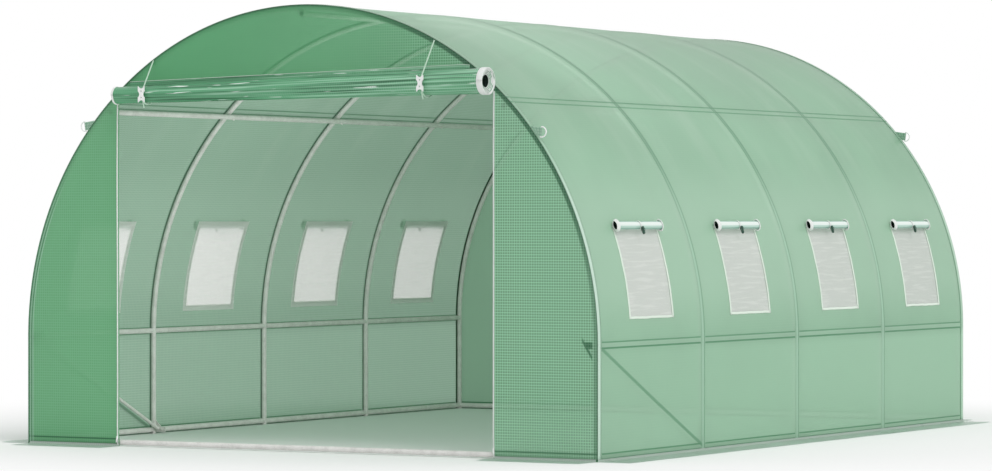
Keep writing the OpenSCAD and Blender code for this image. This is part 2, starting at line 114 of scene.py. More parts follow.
class Field:
    """A number that varies over a surface. Sums add nodes; | and & take the larger and the smaller."""

    __add__ = by_node("ADD")
    __sub__ = by_node("SUBTRACT")
    __mul__ = by_node("MULTIPLY")
    __mod__ = by_node("FLOORED_MODULO")
    __or__ = by_node("MAXIMUM")
    __and__ = by_node("MINIMUM")
    __lt__ = by_node("LESS_THAN")
    __abs__ = by_node("ABSOLUTE")

    def __init__(self, tree, socket):
        self.tree = tree
        self.socket = socket

    def __rsub__(self, other):
        return self.math("SUBTRACT", other, self)

    def math(self, operation, a, b):
        made = add(self.tree, "Math", {0: a, 1: b}, operation=operation)
        return Field(self.tree, made.outputs[0])

    def ramp(self, low, high, to_low=0.0, to_high=1.0):
        """Moved from low..high to to_low..to_high, and held at the ends."""
        span = {"Value": self, "From Min": low, "From Max": high, "To Min": to_low, "To Max": to_high}
        made = add(self.tree, "MapRange", span, interpolation_type="SMOOTHSTEP")
        return Field(self.tree, made.outputs[0])

    def hump(self, low, high, soft):
        """1 between low and high, easing to 0 over soft on both sides."""
        return self.ramp(low - soft, low) * self.ramp(high, high + soft, 1, 0)

    def lines(self, pitch, share):
        """1 on lines a pitch apart, each about a share of the pitch wide, and 0 between them."""
        return self.math("PINGPONG", self * (1 / pitch), 0.5).ramp(0, share, 1, 0)


def split(tree, vector):
    return [Field(tree, socket) for socket in add(tree, "SeparateXYZ", {0: vector}).outputs]


def place_of(tree):
    return add(tree, "TexCoord").outputs["Object"]


def coords(tree):
    """The x, y and z of a point of the part."""
    return split(tree, place_of(tree))


def length_of(tree, vector):
    node = add(tree, "VectorMath", {0: vector}, operation="LENGTH")
    return Field(tree, node.outputs["Value"])


def cloth_uv(tree):
    return add(tree, "UVMap", uv_map=UV_MAP).outputs[0]


def inner_face(tree):
    return Field(tree, add(tree, "NewGeometry").outputs["Backfacing"])


def grain(tree, where, scale, detail=3.0, stretch=(1.0, 1.0, 1.0)):
    mapped = add(tree, "Mapping", {"Vector": where, "Scale": stretch})
    made = add(tree, "TexNoise", {"Vector": mapped.outputs[0], "Scale": scale, "Detail": detail})
    return Field(tree, made.outputs["Fac"])


def colour_mix(share, a, b, blend="MIX"):
    a, b = [(*c, 1.0) if isinstance(c, (tuple, list)) else c for c in (a, b)]
    return add(share.tree, "Mix", {0: share, 6: a, 7: b}, data_type="RGBA", blend_type=blend).outputs[2]


def relief(height, strength, depth):
    return add(height.tree, "Bump", {"Height": height, "Strength": strength, "Distance": depth}).outputs[0]


def new_material(name):
    made = bpy.data.materials.new(name)
    made.use_nodes = True
    tree = made.node_tree
    tree.nodes.clear()
    return made, tree, add(tree, "OutputMaterial").inputs["Surface"]


def finish_solid(tree, surface, tone, rough, normal, **more):
    inputs = {"Base Color": tone, "Roughness": rough, "Normal": normal, **more}
    tree.links.new(add(tree, "BsdfPrincipled", inputs).outputs[0], surface)


def finish_sheet(tree, surface, front, back, through, tint=None, see=None):
    """A thin sheet that lets a share of the light through, and may be seen through in part."""
    both = add(tree, "MixShader", {0: through, 1: front.outputs[0], 2: back.outputs[0]})
    if see:
        clear = add(tree, "BsdfTransparent", {"Color": tint})
        both = add(tree, "MixShader", {0: see, 1: both.outputs[0], 2: clear.outputs[0]})
    tree.links.new(both.outputs[0], surface)


# Marks on the film: masks, and the colours that they paint, in this order. Most are painted light: shade
# and highlights of the tubes behind the film, reflections on the cover, and shade and highlights on the
# rolls.
LEG_TO_ARCH = (0.85, 1.4)
SKIN_SHADES = {
    "painted_highlight_band": (0.62, 0.86, 0.68), "foot": (0.56, 0.86, 0.64), "painted_reflection": (0.6, 0.8, 0.64),
    "crown": (0.46, 0.6, 0.49), "painted_front_shade": (0.3, 0.48, 0.34), "dark": (0.07, 0.28, 0.135),
    "leg": (0.54, 0.85, 0.64), "hem": (0.72, 0.92, 0.79), "shade": (0.03, 0.08, 0.05)}
END_SHADES = {
    "left": (0.172, 0.478, 0.238), "painted_right_light": (0.52, 0.76, 0.59), "rear": (0.5, 0.7, 0.56),
    "dark": (0.02, 0.13, 0.055), "glint": (0.5, 0.76, 0.6)}
ROLL_SHADES = {
    "crease": (0.012, 0.09, 0.035), "painted_ridge_highlight": (0.36, 0.66, 0.46), "glint": (0.85, 0.97, 0.9),
    "core": (0.012, 0.012, 0.016)}
CURL_SHADES = {
    "streak": (0.2, 0.44, 0.33), "white": (0.93, 0.98, 0.95), "crease": (0.13, 0.34, 0.25),
    "core": (0.015, 0.04, 0.028)}


def painted(shades, masks):
    return [(masks[name], colour) for name, colour in shades.items()]


def from_hoop(y):
    """Distance along y from the nearest hoop, negative on its front side."""
    return (y + (HOOP_END_Y + BAY_L / 2)) % BAY_L - BAY_L / 2


def rail_marks(z, middle, reach, upper=1.0):
    """Painted shade lines along the upper and the lower side of a rail behind the film."""
    top = (z - middle).hump(reach - 0.0015, reach + 0.002, 0.003)
    return top * upper | (middle - z).hump(reach - 0.002, reach + 0.003, 0.003)


def bar_mask(a, b, start, end, half):
    """1 on a straight bar, half wide on each side, from start to end in the plane of a and b."""
    run, rise = end[0] - start[0], end[1] - start[1]
    length = hypot(run, rise)
    away = abs((a - start[0]) * (-rise / length) + (b - start[1]) * (run / length))
    ends = a.hump(min(start[0], end[0]), max(start[0], end[0]), 0.004)
    return away.ramp(half - 0.002, half + 0.004, 1, 0) * ends


def skin_shades(tree, y, z):
    """Painted light on the cover: a highlight band at the windows' height, upright walls paler towards the
    rear, reflection streaks above the windows, a duller crown and shade at the roof's front.
    """
    streak = grain(tree, place_of(tree), 1, 4, (1.4, 4.5, 1.4))
    return {
        # Painted highlight: a paler band at the windows' height.
        "painted_highlight_band": z.hump(0.78, 1.05, 0.3) * 0.6,
        # Painted light: the upright wall paler, more so towards the rear.
        "foot": z.ramp(0.44, WALL_H, 1, 0) * y.ramp(-END_Y, END_Y, 0.35, 0.95),
        # Painted reflection: pale streaks on the roof.
        "painted_reflection": streak.ramp(0.45, 0.75, 0, 0.4) * z.ramp(1, 1.5),
        "crown": z.ramp(1.6, 1.99, 0, 0.5),
        # Painted shade on the roof near the front.
        "painted_front_shade": y.ramp(-END_Y, -0.5, 0.34, 0) * z.ramp(1.3, 1.5)}


def skin_tubes(tree, y, z):
    """Painted shade and highlights of the tubes behind the cover: darker lines at their sides, a paler core
    on the legs.
    """
    off = from_hoop(y)
    away = abs(off)
    inner = abs(y).ramp(1.9, 1.94, 1, 0)
    core = away.ramp(0.006, 0.011, 1, 0) * inner
    sides = away.hump(0.0105, 0.0145, 0.004) * inner
    far_side = off.hump(0.0105, 0.0165, 0.004) * inner
    # Painted shade at the hoops' sides, darker on their far side, and over their core up on the arch.
    hoops = sides * z.ramp(*LEG_TO_ARCH, 0.4, 0.85) | far_side * 0.6 | core * z.ramp(*LEG_TO_ARCH) * 0.5
    margin = END_Y - abs(y)
    # Painted shadow line along the inner side of the doubled margin.
    hem_shadow_line = margin.hump(0.026, 0.031, 0.005) * 0.55
    # The doubled margin paler: partly its doubled film, partly a painted highlight that fades up the arch
    # and towards the rear.
    hem = margin.hump(-0.01, 0.017, 0.006) * z.ramp(0.95, 1.45, 0.95, 0)
    rails = rail_marks(z, WALL_H, TUBE_R, 0.9) | rail_marks(z, BASE_MARK_Z, 0.011)
    # Painted shadow of the shoulder purlins, which lie inside the film.
    purlin = abs(z - PURLIN_MARK_Z).hump(0.009, 0.012, 0.0025)
    # Painted shadow of the brace, which lies further in, drawn on the film square to it.
    brace = bar_mask(y, z, BRACE_TOP, BRACE_FOOT, 0.007) * z.ramp(0.48, WALL_H, 0.75, 0)
    # All of these dark marks are painted shade.
    dark = hoops | hem_shadow_line | rails * away.ramp(0.018, 0.026) | purlin * 0.9 | brace
    return {
        "dark": dark * 0.92,
        "leg": core * z.ramp(*LEG_TO_ARCH, 1, 0) * 0.85,
        "hem": hem * y.ramp(-1, 1, 1, 0.2),
        "shade": away.ramp(0.007, 0.014, 0.9, 0) * inner_face(tree)}


def skin_marks(tree):
    y, z = coords(tree)[1:]
    return painted(SKIN_SHADES, {**skin_shades(tree, y, z), **skin_tubes(tree, y, z)})


def right_hand(tree, low, high):
    """0 to 1 over low to high in x on the front wall, and 0 on the rear wall."""
    x, y = coords(tree)[:2]
    return x.ramp(low, high) * (y < 0)


def end_marks(tree):
    """Painted shade and highlights of the hoop, bracket and base rail behind an end wall, and the front's
    left side painted darker, its right side paler.
    """
    x, y, z = coords(tree)
    flat = add(tree, "CombineXYZ", {0: x, 1: (z - WALL_H) | 0.0})
    inset = PANEL_R - length_of(tree, flat.outputs[0])
    # Painted shade: a band where the front hoop lies behind the wall, and a thin line at the arch's edge.
    band = inset.ramp(0.016, 0.022, 1, 0) * right_hand(tree, 0, 0.75) * z.ramp(0.7, 1.2, 0.55, 0.98)
    edge = inset.ramp(0.005, 0.009, 0.6, 0)
    # Painted shade of the base rail's sides, and of the bracket and the brace's end behind the right side.
    base = rail_marks(z, BASE_MARK_Z, 0.012)
    clip = x.hump(*CLIP_X, 0.004) * z.hump(*CLIP_Z, 0.004) | bar_mask(x, z, EAR_TOP, EAR_FOOT, 0.0045)
    front = y < 0.0
    # Painted shade and highlights of the front hoop's left leg, fading up the arch.
    left_leg = x.ramp(-0.9, -0.5, 0.6, 0) * z.ramp(0.95, 1.3, 1, 0) * front
    tube = inset.hump(0.0165, 0.02, 0.003) * left_leg
    glint = inset.hump(0.009, 0.013, 0.003) | inset.hump(0.0235, 0.027, 0.003)
    return painted(END_SHADES, {
        # Painted shade: the front's left side darker.
        "left": x.ramp(-1, -0.97, 0.8, 0) * front,
        # Painted light: the front's right side paler.
        "painted_right_light": right_hand(tree, 0.75, 1.1) * 0.5,
        # Takes the rear wall's inner face back towards the cover's tone, out of the end film's painted
        # shade.
        "rear": inner_face(tree) * y.ramp(-0.1, 0.1, 0, 0.75),
        "dark": band | edge | base | tube | clip * right_hand(tree, 1.3, 1.4),
        "glint": glint * left_leg})


def roll_marks(tree):
    """Rolled film: painted shade and painted highlights in streaks along its creases, painted glints, and
    painted shade in the core.
    """
    uv = cloth_uv(tree)
    streak = grain(tree, uv, 1, 3, (95, 1.1, 1))
    glint = grain(tree, uv, 1, 1, (110, 6, 1))
    return painted(ROLL_SHADES, {
        "crease": streak.ramp(0.5, 0.36, 0, 0.85),
        "painted_ridge_highlight": streak.ramp(0.53, 0.64, 0, 0.8),
        "glint": glint.ramp(0.66, 0.72),
        "core": split(tree, uv)[0].ramp(0.27, 0.31, 1, 0)})


def curl_marks(tree):
    """Rolled window flap: painted highlights in white bands round the roll, darker green streaks, painted
    shade in dark creases, and painted shade in the core.
    """
    uv = cloth_uv(tree)
    around = split(tree, uv)[0]
    turn = (around * (CURL_TURNS / FLAP_CUT_H) + 0.75) % 1
    streak = grain(tree, uv, 1, 2, (120, 1, 1))
    # Painted highlights: a broad white band and a thin white line round the roll.
    white = turn.hump(0.22, 0.33, 0.04) | turn.hump(0.44, 0.46, 0.02)
    # Painted shade: dark lines along the roll.
    crease = turn.hump(0.38, 0.405, 0.015) | turn.hump(0.06, 0.1, 0.03)
    return painted(CURL_SHADES, {
        "streak": streak.ramp(0.47, 0.36, 0, 0.5),
        "white": white * 0.9,
        "crease": crease * 0.7,
        "core": around.ramp(0.3, 0.33, 1, 0)})


# How much the ripstop grid shows, and how much is seen through the film
def skin_grid(tree):
    """More on the cover's inner face."""
    return inner_face(tree).ramp(0, 1, 0.16, 1)


def end_grid(tree):
    """More towards the front's right-hand side."""
    left = coords(tree)[0].ramp(-1.1, -0.9, 0.34, 0)
    return left | right_hand(tree, 0.1, 1.05).ramp(0, 1, 0.1, 1)


def roll_grid(tree):
    return coords(tree)[0].ramp(-0.4, 0.6, 0.1, 0.9)


def skin_see(tree):
    """Less where the cover lies on a hoop or on the waist rail."""
    y, z = coords(tree)[1:]
    hoop = abs(from_hoop(y)).ramp(0.012, 0.018, 0.25, 1)
    rail = abs(z - WALL_H).ramp(0.012, 0.018, 0.25, 1)
    return z.ramp(0.44, 0.58, 0.24, 0.2) * (hoop & rail)


def end_see(tree):
    """More towards the front's right-hand side."""
    return right_hand(tree, -1.2, 1.1).ramp(0, 1, 0.06, 0.45)


# Materials
FILM_TINT = (0.74, 0.9, 0.8, 1.0)
WHITE = (1.0, 1.0, 1.0, 1.0)
# Marks darker than DARK_MARK are painted shade: they also cover the grid lines and close the see-through
# down to DARK_SEE.
DARK_MARK = 0.3
DARK_SEE = 0.15


def shaded(colour, share):
    return [c * share for c in colour]


def film(name, cell, line, glow, see=None, line_see=0.04, grid=1.0, rough=0.34, share=0.26, through=0.38,
         marks=None, inside=None, hide=0.85):
    """Woven film: a ripstop grid of paler, denser tapes on cells that let light and sight through."""
    made, tree, surface = new_material(name)
    uv = cloth_uv(tree)
    across, along = split(tree, uv)[:2]
    mask = across.lines(RIPSTOP, share) | along.lines(RIPSTOP, share)
    mask = mask * (grid(tree) if callable(grid) else grid)
    cloud = grain(tree, place_of(tree), 1.7, 4)
    fine = grain(tree, uv, 220, 2)
    tone = colour_mix(cloud.ramp(0.3, 0.7), shaded(cell, 0.93), shaded(cell, 1.06))
    lit = colour_mix(mask, glow, shaded(glow, 0.9))
    shut = None
    # Marks paint their colours in turn, most of them painted shade and highlights.
    for where, colour in marks(tree) if marks else ():
        if max(colour) < DARK_MARK:
            shut = where | shut if shut else where
            line = colour_mix(where * hide, line, colour)
        tone = colour_mix(where, tone, colour)
        lit = colour_mix(where, lit, [(c + g) / 2 for c, g in zip(colour, glow)])
    tone = colour_mix(mask, tone, line)
    # The inner face's colours are multiplied by inside, as painted shade of the tunnel's inside.
    if inside:
        tone, lit = [colour_mix(inner_face(tree), c, inside, "MULTIPLY") for c in (tone, lit)]
    normal = relief(mask + fine * 0.5, 0.25, 0.0006)
    front = add(tree, "BsdfPrincipled", {
        "Base Color": tone, "Roughness": cloud.ramp(0.25, 0.75, rough - 0.05, rough + 0.07),
        "Normal": normal, "IOR": 1.5})
    back = add(tree, "BsdfTranslucent", {"Color": lit, "Normal": normal})
    if see:
        see = mask.ramp(0, 1, 1, line_see) * (see(tree) if callable(see) else see)
        if shut:
            see = see * shut.ramp(0, 1, 1, DARK_SEE)
    finish_sheet(tree, surface, front, back, through, FILM_TINT, see)
    return made


def net_material(name):
    """Fine white insect net, its cross threads stronger than its upright ones."""
    made, tree, surface = new_material(name)
    uv = cloth_uv(tree)
    across, along = split(tree, uv)[:2]
    creases = grain(tree, uv, 1, 3, (70, 5, 1)).ramp(0.42, 0.66)
    threads = across.lines(0.0025, 0.35) | along.lines(0.003, 0.35) * 0.6 | creases * 0.6
    cloud = grain(tree, place_of(tree), 9, 2)
    front = add(tree, "BsdfPrincipled", {
        "Base Color": colour_mix(threads, (0.8, 0.79, 0.78), (0.92, 0.91, 0.9)),
        "Roughness": cloud.ramp(0.3, 0.7, 0.65, 0.8), "Normal": relief(threads, 0.3, 0.0004)})
    back = add(tree, "BsdfTranslucent", {"Color": (0.88, 0.85, 0.84, 1.0)})
    finish_sheet(tree, surface, front, back, 0.35, WHITE, threads.ramp(0, 1, 0.3, 0.05))
    return made


def solid_material(name, dark, pale, rough, scale):
    """A plain finish whose colour, gloss and surface vary a little."""
    made, tree, surface = new_material(name)
    where = place_of(tree)
    broad = grain(tree, where, scale, 4)
    small = grain(tree, where, scale * 6)
    finish_solid(tree, surface, colour_mix(broad.ramp(0.3, 0.7), dark, pale),
                 small.ramp(0.3, 0.7, rough - 0.06, rough + 0.08), relief(small, 0.15, 0.0004))
    return made


def zinc_material(name, dull, bright, facets):
    """Galvanised steel: crystals of zinc over a duller grey, with streaks."""
    made, tree, surface = new_material(name)
    where = place_of(tree)
    crystals = add(tree, "TexVoronoi", {"Vector": where, "Scale": 160.0})
    streaks = grain(tree, where, 22, 4)
    facet = colour_mix(streaks.ramp(0.3, 0.7), dull, bright)
    shade, gloss = split(tree, crystals.outputs["Color"])[:2]
    finish_solid(tree, surface, colour_mix(shade * 0.35, facet, facets),
                 gloss.ramp(0, 1, 0.36, 0.52), relief(streaks, 0.12, 0.0005), Metallic=0.1)
    return made


def braid_material(name, dark, pale, pitch):
    """Woven cord or tape: slanting strands that cross."""
    made, tree, surface = new_material(name)
    across, along = split(tree, cloth_uv(tree))[:2]
    weave = (across + along).lines(pitch, 0.4) | (across - along).lines(pitch, 0.4)
    worn = grain(tree, place_of(tree), 40)
    finish_solid(tree, surface, colour_mix(weave, dark, pale), worn.ramp(0.3, 0.7, 0.6, 0.75),
                 relief(weave, 0.5, 0.0006), **{"Sheen Weight": 0.2})
    return made


FILMS = {
    # The cover's inside tint darkens its inner face: painted shade of the tunnel's inside.
    "skin": dict(cell=(0.445, 0.72, 0.515), line=(0.62, 0.85, 0.68), glow=(0.28, 0.48, 0.34), see=skin_see,
                 line_see=0.3, grid=skin_grid, marks=skin_marks, inside=(0.55, 0.595, 0.568)),
    "edge": dict(cell=(0.37, 0.6, 0.43), line=(0.42, 0.66, 0.49), glow=(0.28, 0.48, 0.34), grid=0.2,
                 through=0.2, marks=skin_marks),
    # The end walls take the cover's film painted darker, as painted shade of the front wall; their inside
    # tint darkens the inner face further.
    "end": dict(cell=(0.115, 0.42, 0.19), line=(0.46, 0.8, 0.57), glow=(0.11, 0.42, 0.18), see=end_see,
                line_see=0.15, grid=end_grid, marks=end_marks, inside=(0.7, 0.7, 0.7), hide=0.66),
    "roll": dict(cell=(0.1, 0.36, 0.18), line=(0.34, 0.64, 0.44), glow=(0.1, 0.36, 0.16), grid=roll_grid,
                 rough=0.22, through=0.1, marks=roll_marks),
    "pale": dict(cell=(0.5, 0.73, 0.63), line=(0.56, 0.78, 0.68), glow=(0.5, 0.74, 0.62), grid=0.3,
                 rough=0.16, through=0.1, marks=curl_marks),
    "flap": dict(cell=(0.55, 0.65, 0.58), line=(0.62, 0.72, 0.66), glow=(0.5, 0.64, 0.55), see=0.1,
                 rough=0.3),
    "hem": dict(cell=(0.82, 0.92, 0.82), line=(0.88, 0.95, 0.88), glow=(0.8, 0.92, 0.82), grid=0.4,
                through=0.15),
    "tab": dict(cell=(0.5, 0.68, 0.56), line=(0.12, 0.32, 0.2), glow=(0.4, 0.6, 0.46), see=0.1, share=0.16),
}
LOOKS = {name: (film(f"Film_{name}", **recipe), "green_film") for name, recipe in FILMS.items()}
LOOKS.update({
    "net": (net_material("Net"), "window_net"),
    "tape": (braid_material("Tape", (0.72, 0.75, 0.73), (0.88, 0.9, 0.88), 0.0022), "white_plastic"),
    "white": (solid_material("Plastic_white", (0.8, 0.82, 0.81), (0.88, 0.89, 0.88), 0.32, 60.0),
              "white_plastic"),
    "cord": (braid_material("Cord_pale", (0.34, 0.56, 0.4), (0.6, 0.78, 0.64), 0.0024), "pale_cord"),
    "dark": (solid_material("Toggle_dark", (0.008, 0.05, 0.032), (0.02, 0.08, 0.05), 0.38, 90.0),
             "dark_cord"),
    "thread": (braid_material("Thread", (0.42, 0.62, 0.48), (0.66, 0.82, 0.7), 0.0012), "pale_cord"),
    "steel": (zinc_material("Zinc", (0.62, 0.61, 0.59), (0.74, 0.73, 0.71), (0.84, 0.83, 0.81)),
              "galvanised_steel"),
})


# Pieces
def place_object(name, data):
    made = bpy.data.objects.new(name, data)
    bpy.context.scene.collection.objects.link(made)
    return made


def piece(bm, name, looks, *replaced):
    """Makes a mesh object of bm that rides on the part's one body."""
    mesh = bpy.data.meshes.new(name)
    bm.to_mesh(mesh)
    bm.free()
    material, slot = LOOKS[looks]
    mesh.materials.append(material)
    made = place_object(name, mesh)
    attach(made, "root")
    if replaced:
        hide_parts(*replaced)
    return made


def solid(bm, name, looks, *replaced):
    bmesh.ops.recalc_face_normals(bm, faces=bm.faces)
    return piece(bm, name, looks, *replaced)


def shares(count):
    """0 to 1 in count even steps."""
    return [k / count for k in range(count + 1)]


def clamped(value):
    return min(1.0, max(0.0, value))


def wave(a, b, c):
    return noise.noise(Vector((a, b, c)))


def breaks(stops, step):
    """The stops with even lines put in between, none further apart than step."""
    lines = [stops[0]]
    for low, high in zip(stops, stops[1:]):
        count = max(1, ceil((high - low) / step - 1e-6))
        lines += [low + (high - low) * k / count for k in range(1, count + 1)]
    return lines


def uv_layer(bm):
    return bm.loops.layers.uv.get(UV_MAP) or bm.loops.layers.uv.new(UV_MAP)


def lay_grid(bm, us, vs, place, keep=None, uv=None, flip=False):
    """Lays a sheet of quads over the lines us and vs; keep says which cells stay."""
    layer = uv_layer(bm)
    points = {}

    def vert(i, j):
        if (i, j) not in points:
            points[i, j] = bm.verts.new(place(us[i], vs[j]))
        return points[i, j]

    for i in range(len(us) - 1):
        for j in range(len(vs) - 1):
            if keep and not keep((us[i] + us[i + 1]) / 2, (vs[j] + vs[j + 1]) / 2):
                continue
            corners = [(i, j), (i + 1, j), (i + 1, j + 1), (i, j + 1)]
            if flip:
                corners.reverse()
            face = bm.faces.new([vert(*c) for c in corners])
            face.smooth = True
            for loop, (a, b) in zip(face.loops, corners):
                loop[layer].uv = uv(us[a], vs[b]) if uv else (us[a], vs[b])


def sheet(name, looks, us, vs, place, *replaced, keep=None, uv=None, flip=False):
    bm = bmesh.new()
    lay_grid(bm, us, vs, place, keep, uv, flip)
    return piece(bm, name, looks, *replaced)


def turned(path, ups):
    """Each point of a path, with the side and the up direction square to the path there."""
    found = []
    for k, point in enumerate(path):
        tangent = (path[min(k + 1, len(path) - 1)] - path[max(k - 1, 0)]).normalized()
        side = tangent.cross(ups[k]).normalized()
        found.append((point, side, side.cross(tangent)))
    return found


def sweep(bm, path, ups, profile, caps=True):
    """Carries a closed profile of (side, up) points along a path."""
    layer = uv_layer(bm)
    rings = []
    for point, side, up in turned(path, ups):
        rings.append([bm.verts.new(point + side * a + up * b) for a, b in profile])
    run = [0.0]
    for a, b in zip(path, path[1:]):
        run.append(run[-1] + (b - a).length)
    round_run = [0.0]
    ends = profile + profile[:1]
    for (a0, b0), (a1, b1) in zip(ends, ends[1:]):
        round_run.append(round_run[-1] + hypot(a1 - a0, b1 - b0))
    for k in range(len(rings) - 1):
        for m in range(len(profile)):
            n = (m + 1) % len(profile)
            face = bm.faces.new((rings[k][m], rings[k][n], rings[k + 1][n], rings[k + 1][m]))
            face.smooth = True
            spots = ((k, m), (k, m + 1), (k + 1, m + 1), (k + 1, m))
            for loop, (a, b) in zip(face.loops, spots):
                loop[layer].uv = (run[a], round_run[b])
    if caps:
        bm.faces.new(list(reversed(rings[0])))
        bm.faces.new(rings[-1])


def loft(bm, rings, smooth=False):
    """Joins rings of points in turn, and closes both ends."""
    for a, b in zip(rings, rings[1:]):
        for k in range(len(a)):
            n = (k + 1) % len(a)
            bm.faces.new((a[k], a[n], b[n], b[k])).smooth = smooth
    bm.faces.new(rings[0])
    bm.faces.new(rings[-1])


def oval(width, height, count=10):
    turn = 2 * pi / count
    return [(width / 2 * cos(turn * k), height / 2 * sin(turn * k)) for k in range(count)]


def strap(width, height):
    """The outline of a flat strap with eased edges."""
    a, b, e = width / 2, height / 2, height * 0.3
    right = [(a - e, -b), (a, -b + e), (a, b - e), (a - e, b)]
    return right + [(-x, y) for x, y in reversed(right)]


# The cover's own shape
MESH_STEP = 0.03
WALL_SAG = 0.004
ROOF_SAG = 0.0025
ROOF_SAG_START = 0.5
RIPPLE = 0.0012
SAG_POWER = 2.2
FOOT_HOLD = 0.06


def bay_sag(y):
    """1 in the middle of a bay, easing to 0 at its hoops."""
    share = (y + HOOP_END_Y) / BAY_L
    if not 0 < share < BAYS:
        return 0.0
    return 1 - abs(2 * (share % 1.0) - 1) ** SAG_POWER


def span_sag(s):
    """How far the film sags in a bay's middle, s metres along the cover."""
    t = min(s, SKIN_L - s)
    if t < WALL_H:
        return WALL_SAG * sin(pi * t / WALL_H)
    rise = min(1.0, (t - WALL_H) / ROOF_SAG_START)
    return ROOF_SAG * rise * rise * (3 - 2 * rise)


def ripple(s, y):
    return RIPPLE * (wave(s * 2.1, y * 3.3, 4.7) + 0.45 * wave(s * 6.5, y * 4.1, 11.3))


def skin_frame(s):
    """The cover's outline at s metres from the right ground line: a point and the outward normal."""
    if s <= WALL_H:
        return Vector((FILM_R, 0, s)), X
    turn = (s - WALL_H) / COVER_R
    if turn < pi:
        normal = Vector((cos(turn), 0, sin(turn)))
        return normal * FILM_R + Vector((0, 0, WALL_H)), normal
    return Vector((-FILM_R, 0, SKIN_L - s)), -X


def skin_point(s, y, lift=0.0):
    point, normal = skin_frame(s)
    sag = bay_sag(y)
    held = min(1.0, min(s, SKIN_L - s) / FOOT_HOLD)
    out = lift - span_sag(s) * sag + ripple(s, y) * min(1.0, sag * 3) * held
    return point + normal * out + Y * y


def in_window(s, y):
    t = min(s, SKIN_L - s) - WALL_H - WINDOW_SILL
    return 0 < t < WINDOW and any(abs(y - mid) < WINDOW / 2 for mid in BAY_YS)


def make_cover():
    side_stops = [0.0, MESH_STEP, WALL_H, WALL_H + WINDOW_SILL, WALL_H + WINDOW_SILL + WINDOW]
    stops = side_stops + [SKIN_L / 2] + [SKIN_L - s for s in reversed(side_stops)]
    y_stops = {-END_Y, END_Y, *HOOP_YS}
    for mid in BAY_YS:
        y_stops |= {mid - WINDOW / 2, mid + WINDOW / 2}
    cover = sheet(
        "tunnel_cover", "skin", breaks(stops, MESH_STEP), breaks(sorted(y_stops), MESH_STEP), skin_point,
        "left_wall_film", "right_wall_film", "left_window_film", "right_window_film",
        "left_roof_film", "right_roof_film", keep=lambda s, y: not in_window(s, y), flip=True)


# End walls
FRONT_SEED = 3.1
REAR_SEED = 17.7
WALL_ROWS = 52
WALL_COLUMNS = 110
COLUMN_STEP = 0.035
DOOR_COLUMN_GAP = 0.008
RIM_EASE = 0.09
FOOT_EASE = 0.08
HEADER_FLAT = 0.1
HEADER_EASE = 0.12
BULGE = 0.0035
BULGE_FOLDS = 0.0035
BULGE_BROAD = 0.005


def panel_top(x):
    return WALL_H + sqrt(max(0.0, PANEL_R * PANEL_R - x * x))


def end_bulge(x, z, seed, doorway):
    """How far an end wall stands out from flat, easing to nothing where the frame holds it."""
    rim = clamped((PANEL_R - hypot(x, max(0.0, z - WALL_H))) / RIM_EASE)
    foot = min(1.0, z / FOOT_EASE)
    if abs(x) < DOOR_HALF and doorway:
        foot = clamped((z - DOOR_HEAD_Z - HEADER_FLAT) / HEADER_EASE)
    folds = wave(x * 5.5 + z * 1.3, z * 1.1, seed)
    broad = wave(x * 1.6, z * 1.4, seed + 9.0)
    return rim * foot * (BULGE + BULGE_FOLDS * folds + BULGE_BROAD * broad)


def end_columns():
    xs = {round(PANEL_R * sin(pi * (share - 0.5)), 5) for share in shares(WALL_COLUMNS)}
    xs = [x for x in xs | {-DOOR_HALF, DOOR_HALF}
          if abs(abs(x) - DOOR_HALF) > DOOR_COLUMN_GAP or abs(x) == DOOR_HALF]
    return breaks(sorted(xs), COLUMN_STEP)


def end_wall(name, y, out, seed, doorway, *replaced):
    """A flat-hung end wall in columns under the arch, with or without the doorway cut through."""
    bm = bmesh.new()

    def lay(xs, low):
        def flat_spot(x, share):
            return x, low + (panel_top(x) - low) * share

        def place(x, share):
            z = flat_spot(x, share)[1]
            return Vector((x, y + out * end_bulge(x, z, seed, doorway), z))

        lay_grid(bm, xs, shares(WALL_ROWS), place, uv=flat_spot, flip=out > 0)

    xs = end_columns()
    if doorway:
        lay([x for x in xs if x <= -DOOR_HALF], 0.0)
        lay([x for x in xs if -DOOR_HALF <= x <= DOOR_HALF], DOOR_HEAD_Z)
        lay([x for x in xs if x >= DOOR_HALF], 0.0)
        bmesh.ops.remove_doubles(bm, verts=bm.verts, dist=1e-5)
    else:
        lay(xs, 0.0)
    return piece(bm, name, "end", *replaced)


def make_end_walls():
    front = end_wall("front_wall", -END_FILM_Y, -1, FRONT_SEED, True,
                     "front_left_film", "front_right_film", "front_header_film")
    rear = end_wall("rear_wall", END_FILM_Y, 1, REAR_SEED, False, "rear_film")


# Hems along both arches
EDGE_W = 0.03
EDGE_T = 0.0012
EDGE_LIFT = 0.001
STITCH_L = 0.007
STITCH_PITCH = 0.011
STITCH_D = 0.0011
STITCH_INSET = 0.003
STITCH_LIFT = 0.0018


def arch_path(y, lift):
    frames = [skin_frame(s) for s in breaks([0.0, WALL_H, SKIN_L - WALL_H, SKIN_L], MESH_STEP)]
    return [p + n * lift + Y * y for p, n in frames], [n for p, n in frames]


def stitch(bm, start, ahead, up):
    """One thread of a seam, humped in the middle."""
    path = [start + ahead * (STITCH_L * share) + up * (STITCH_D / 2 * sin(pi * share))
            for share in shares(4)]
    sweep(bm, path, [up] * len(path), oval(STITCH_D, STITCH_D, 5))


def stitch_row(bm, path, ups):
    """Stitches at an even pitch along a path, none of them past its end."""
    run = STITCH_PITCH / 2
    for k in range(len(path) - 1):
        step = path[k + 1] - path[k]
        ahead = step.normalized()
        room = step.length - (STITCH_L if k == len(path) - 2 else 0.0)
        while run < step.length:
            if run < room:
                stitch(bm, path[k] + ahead * run, ahead, ups[k])
            run += STITCH_PITCH
        run -= step.length


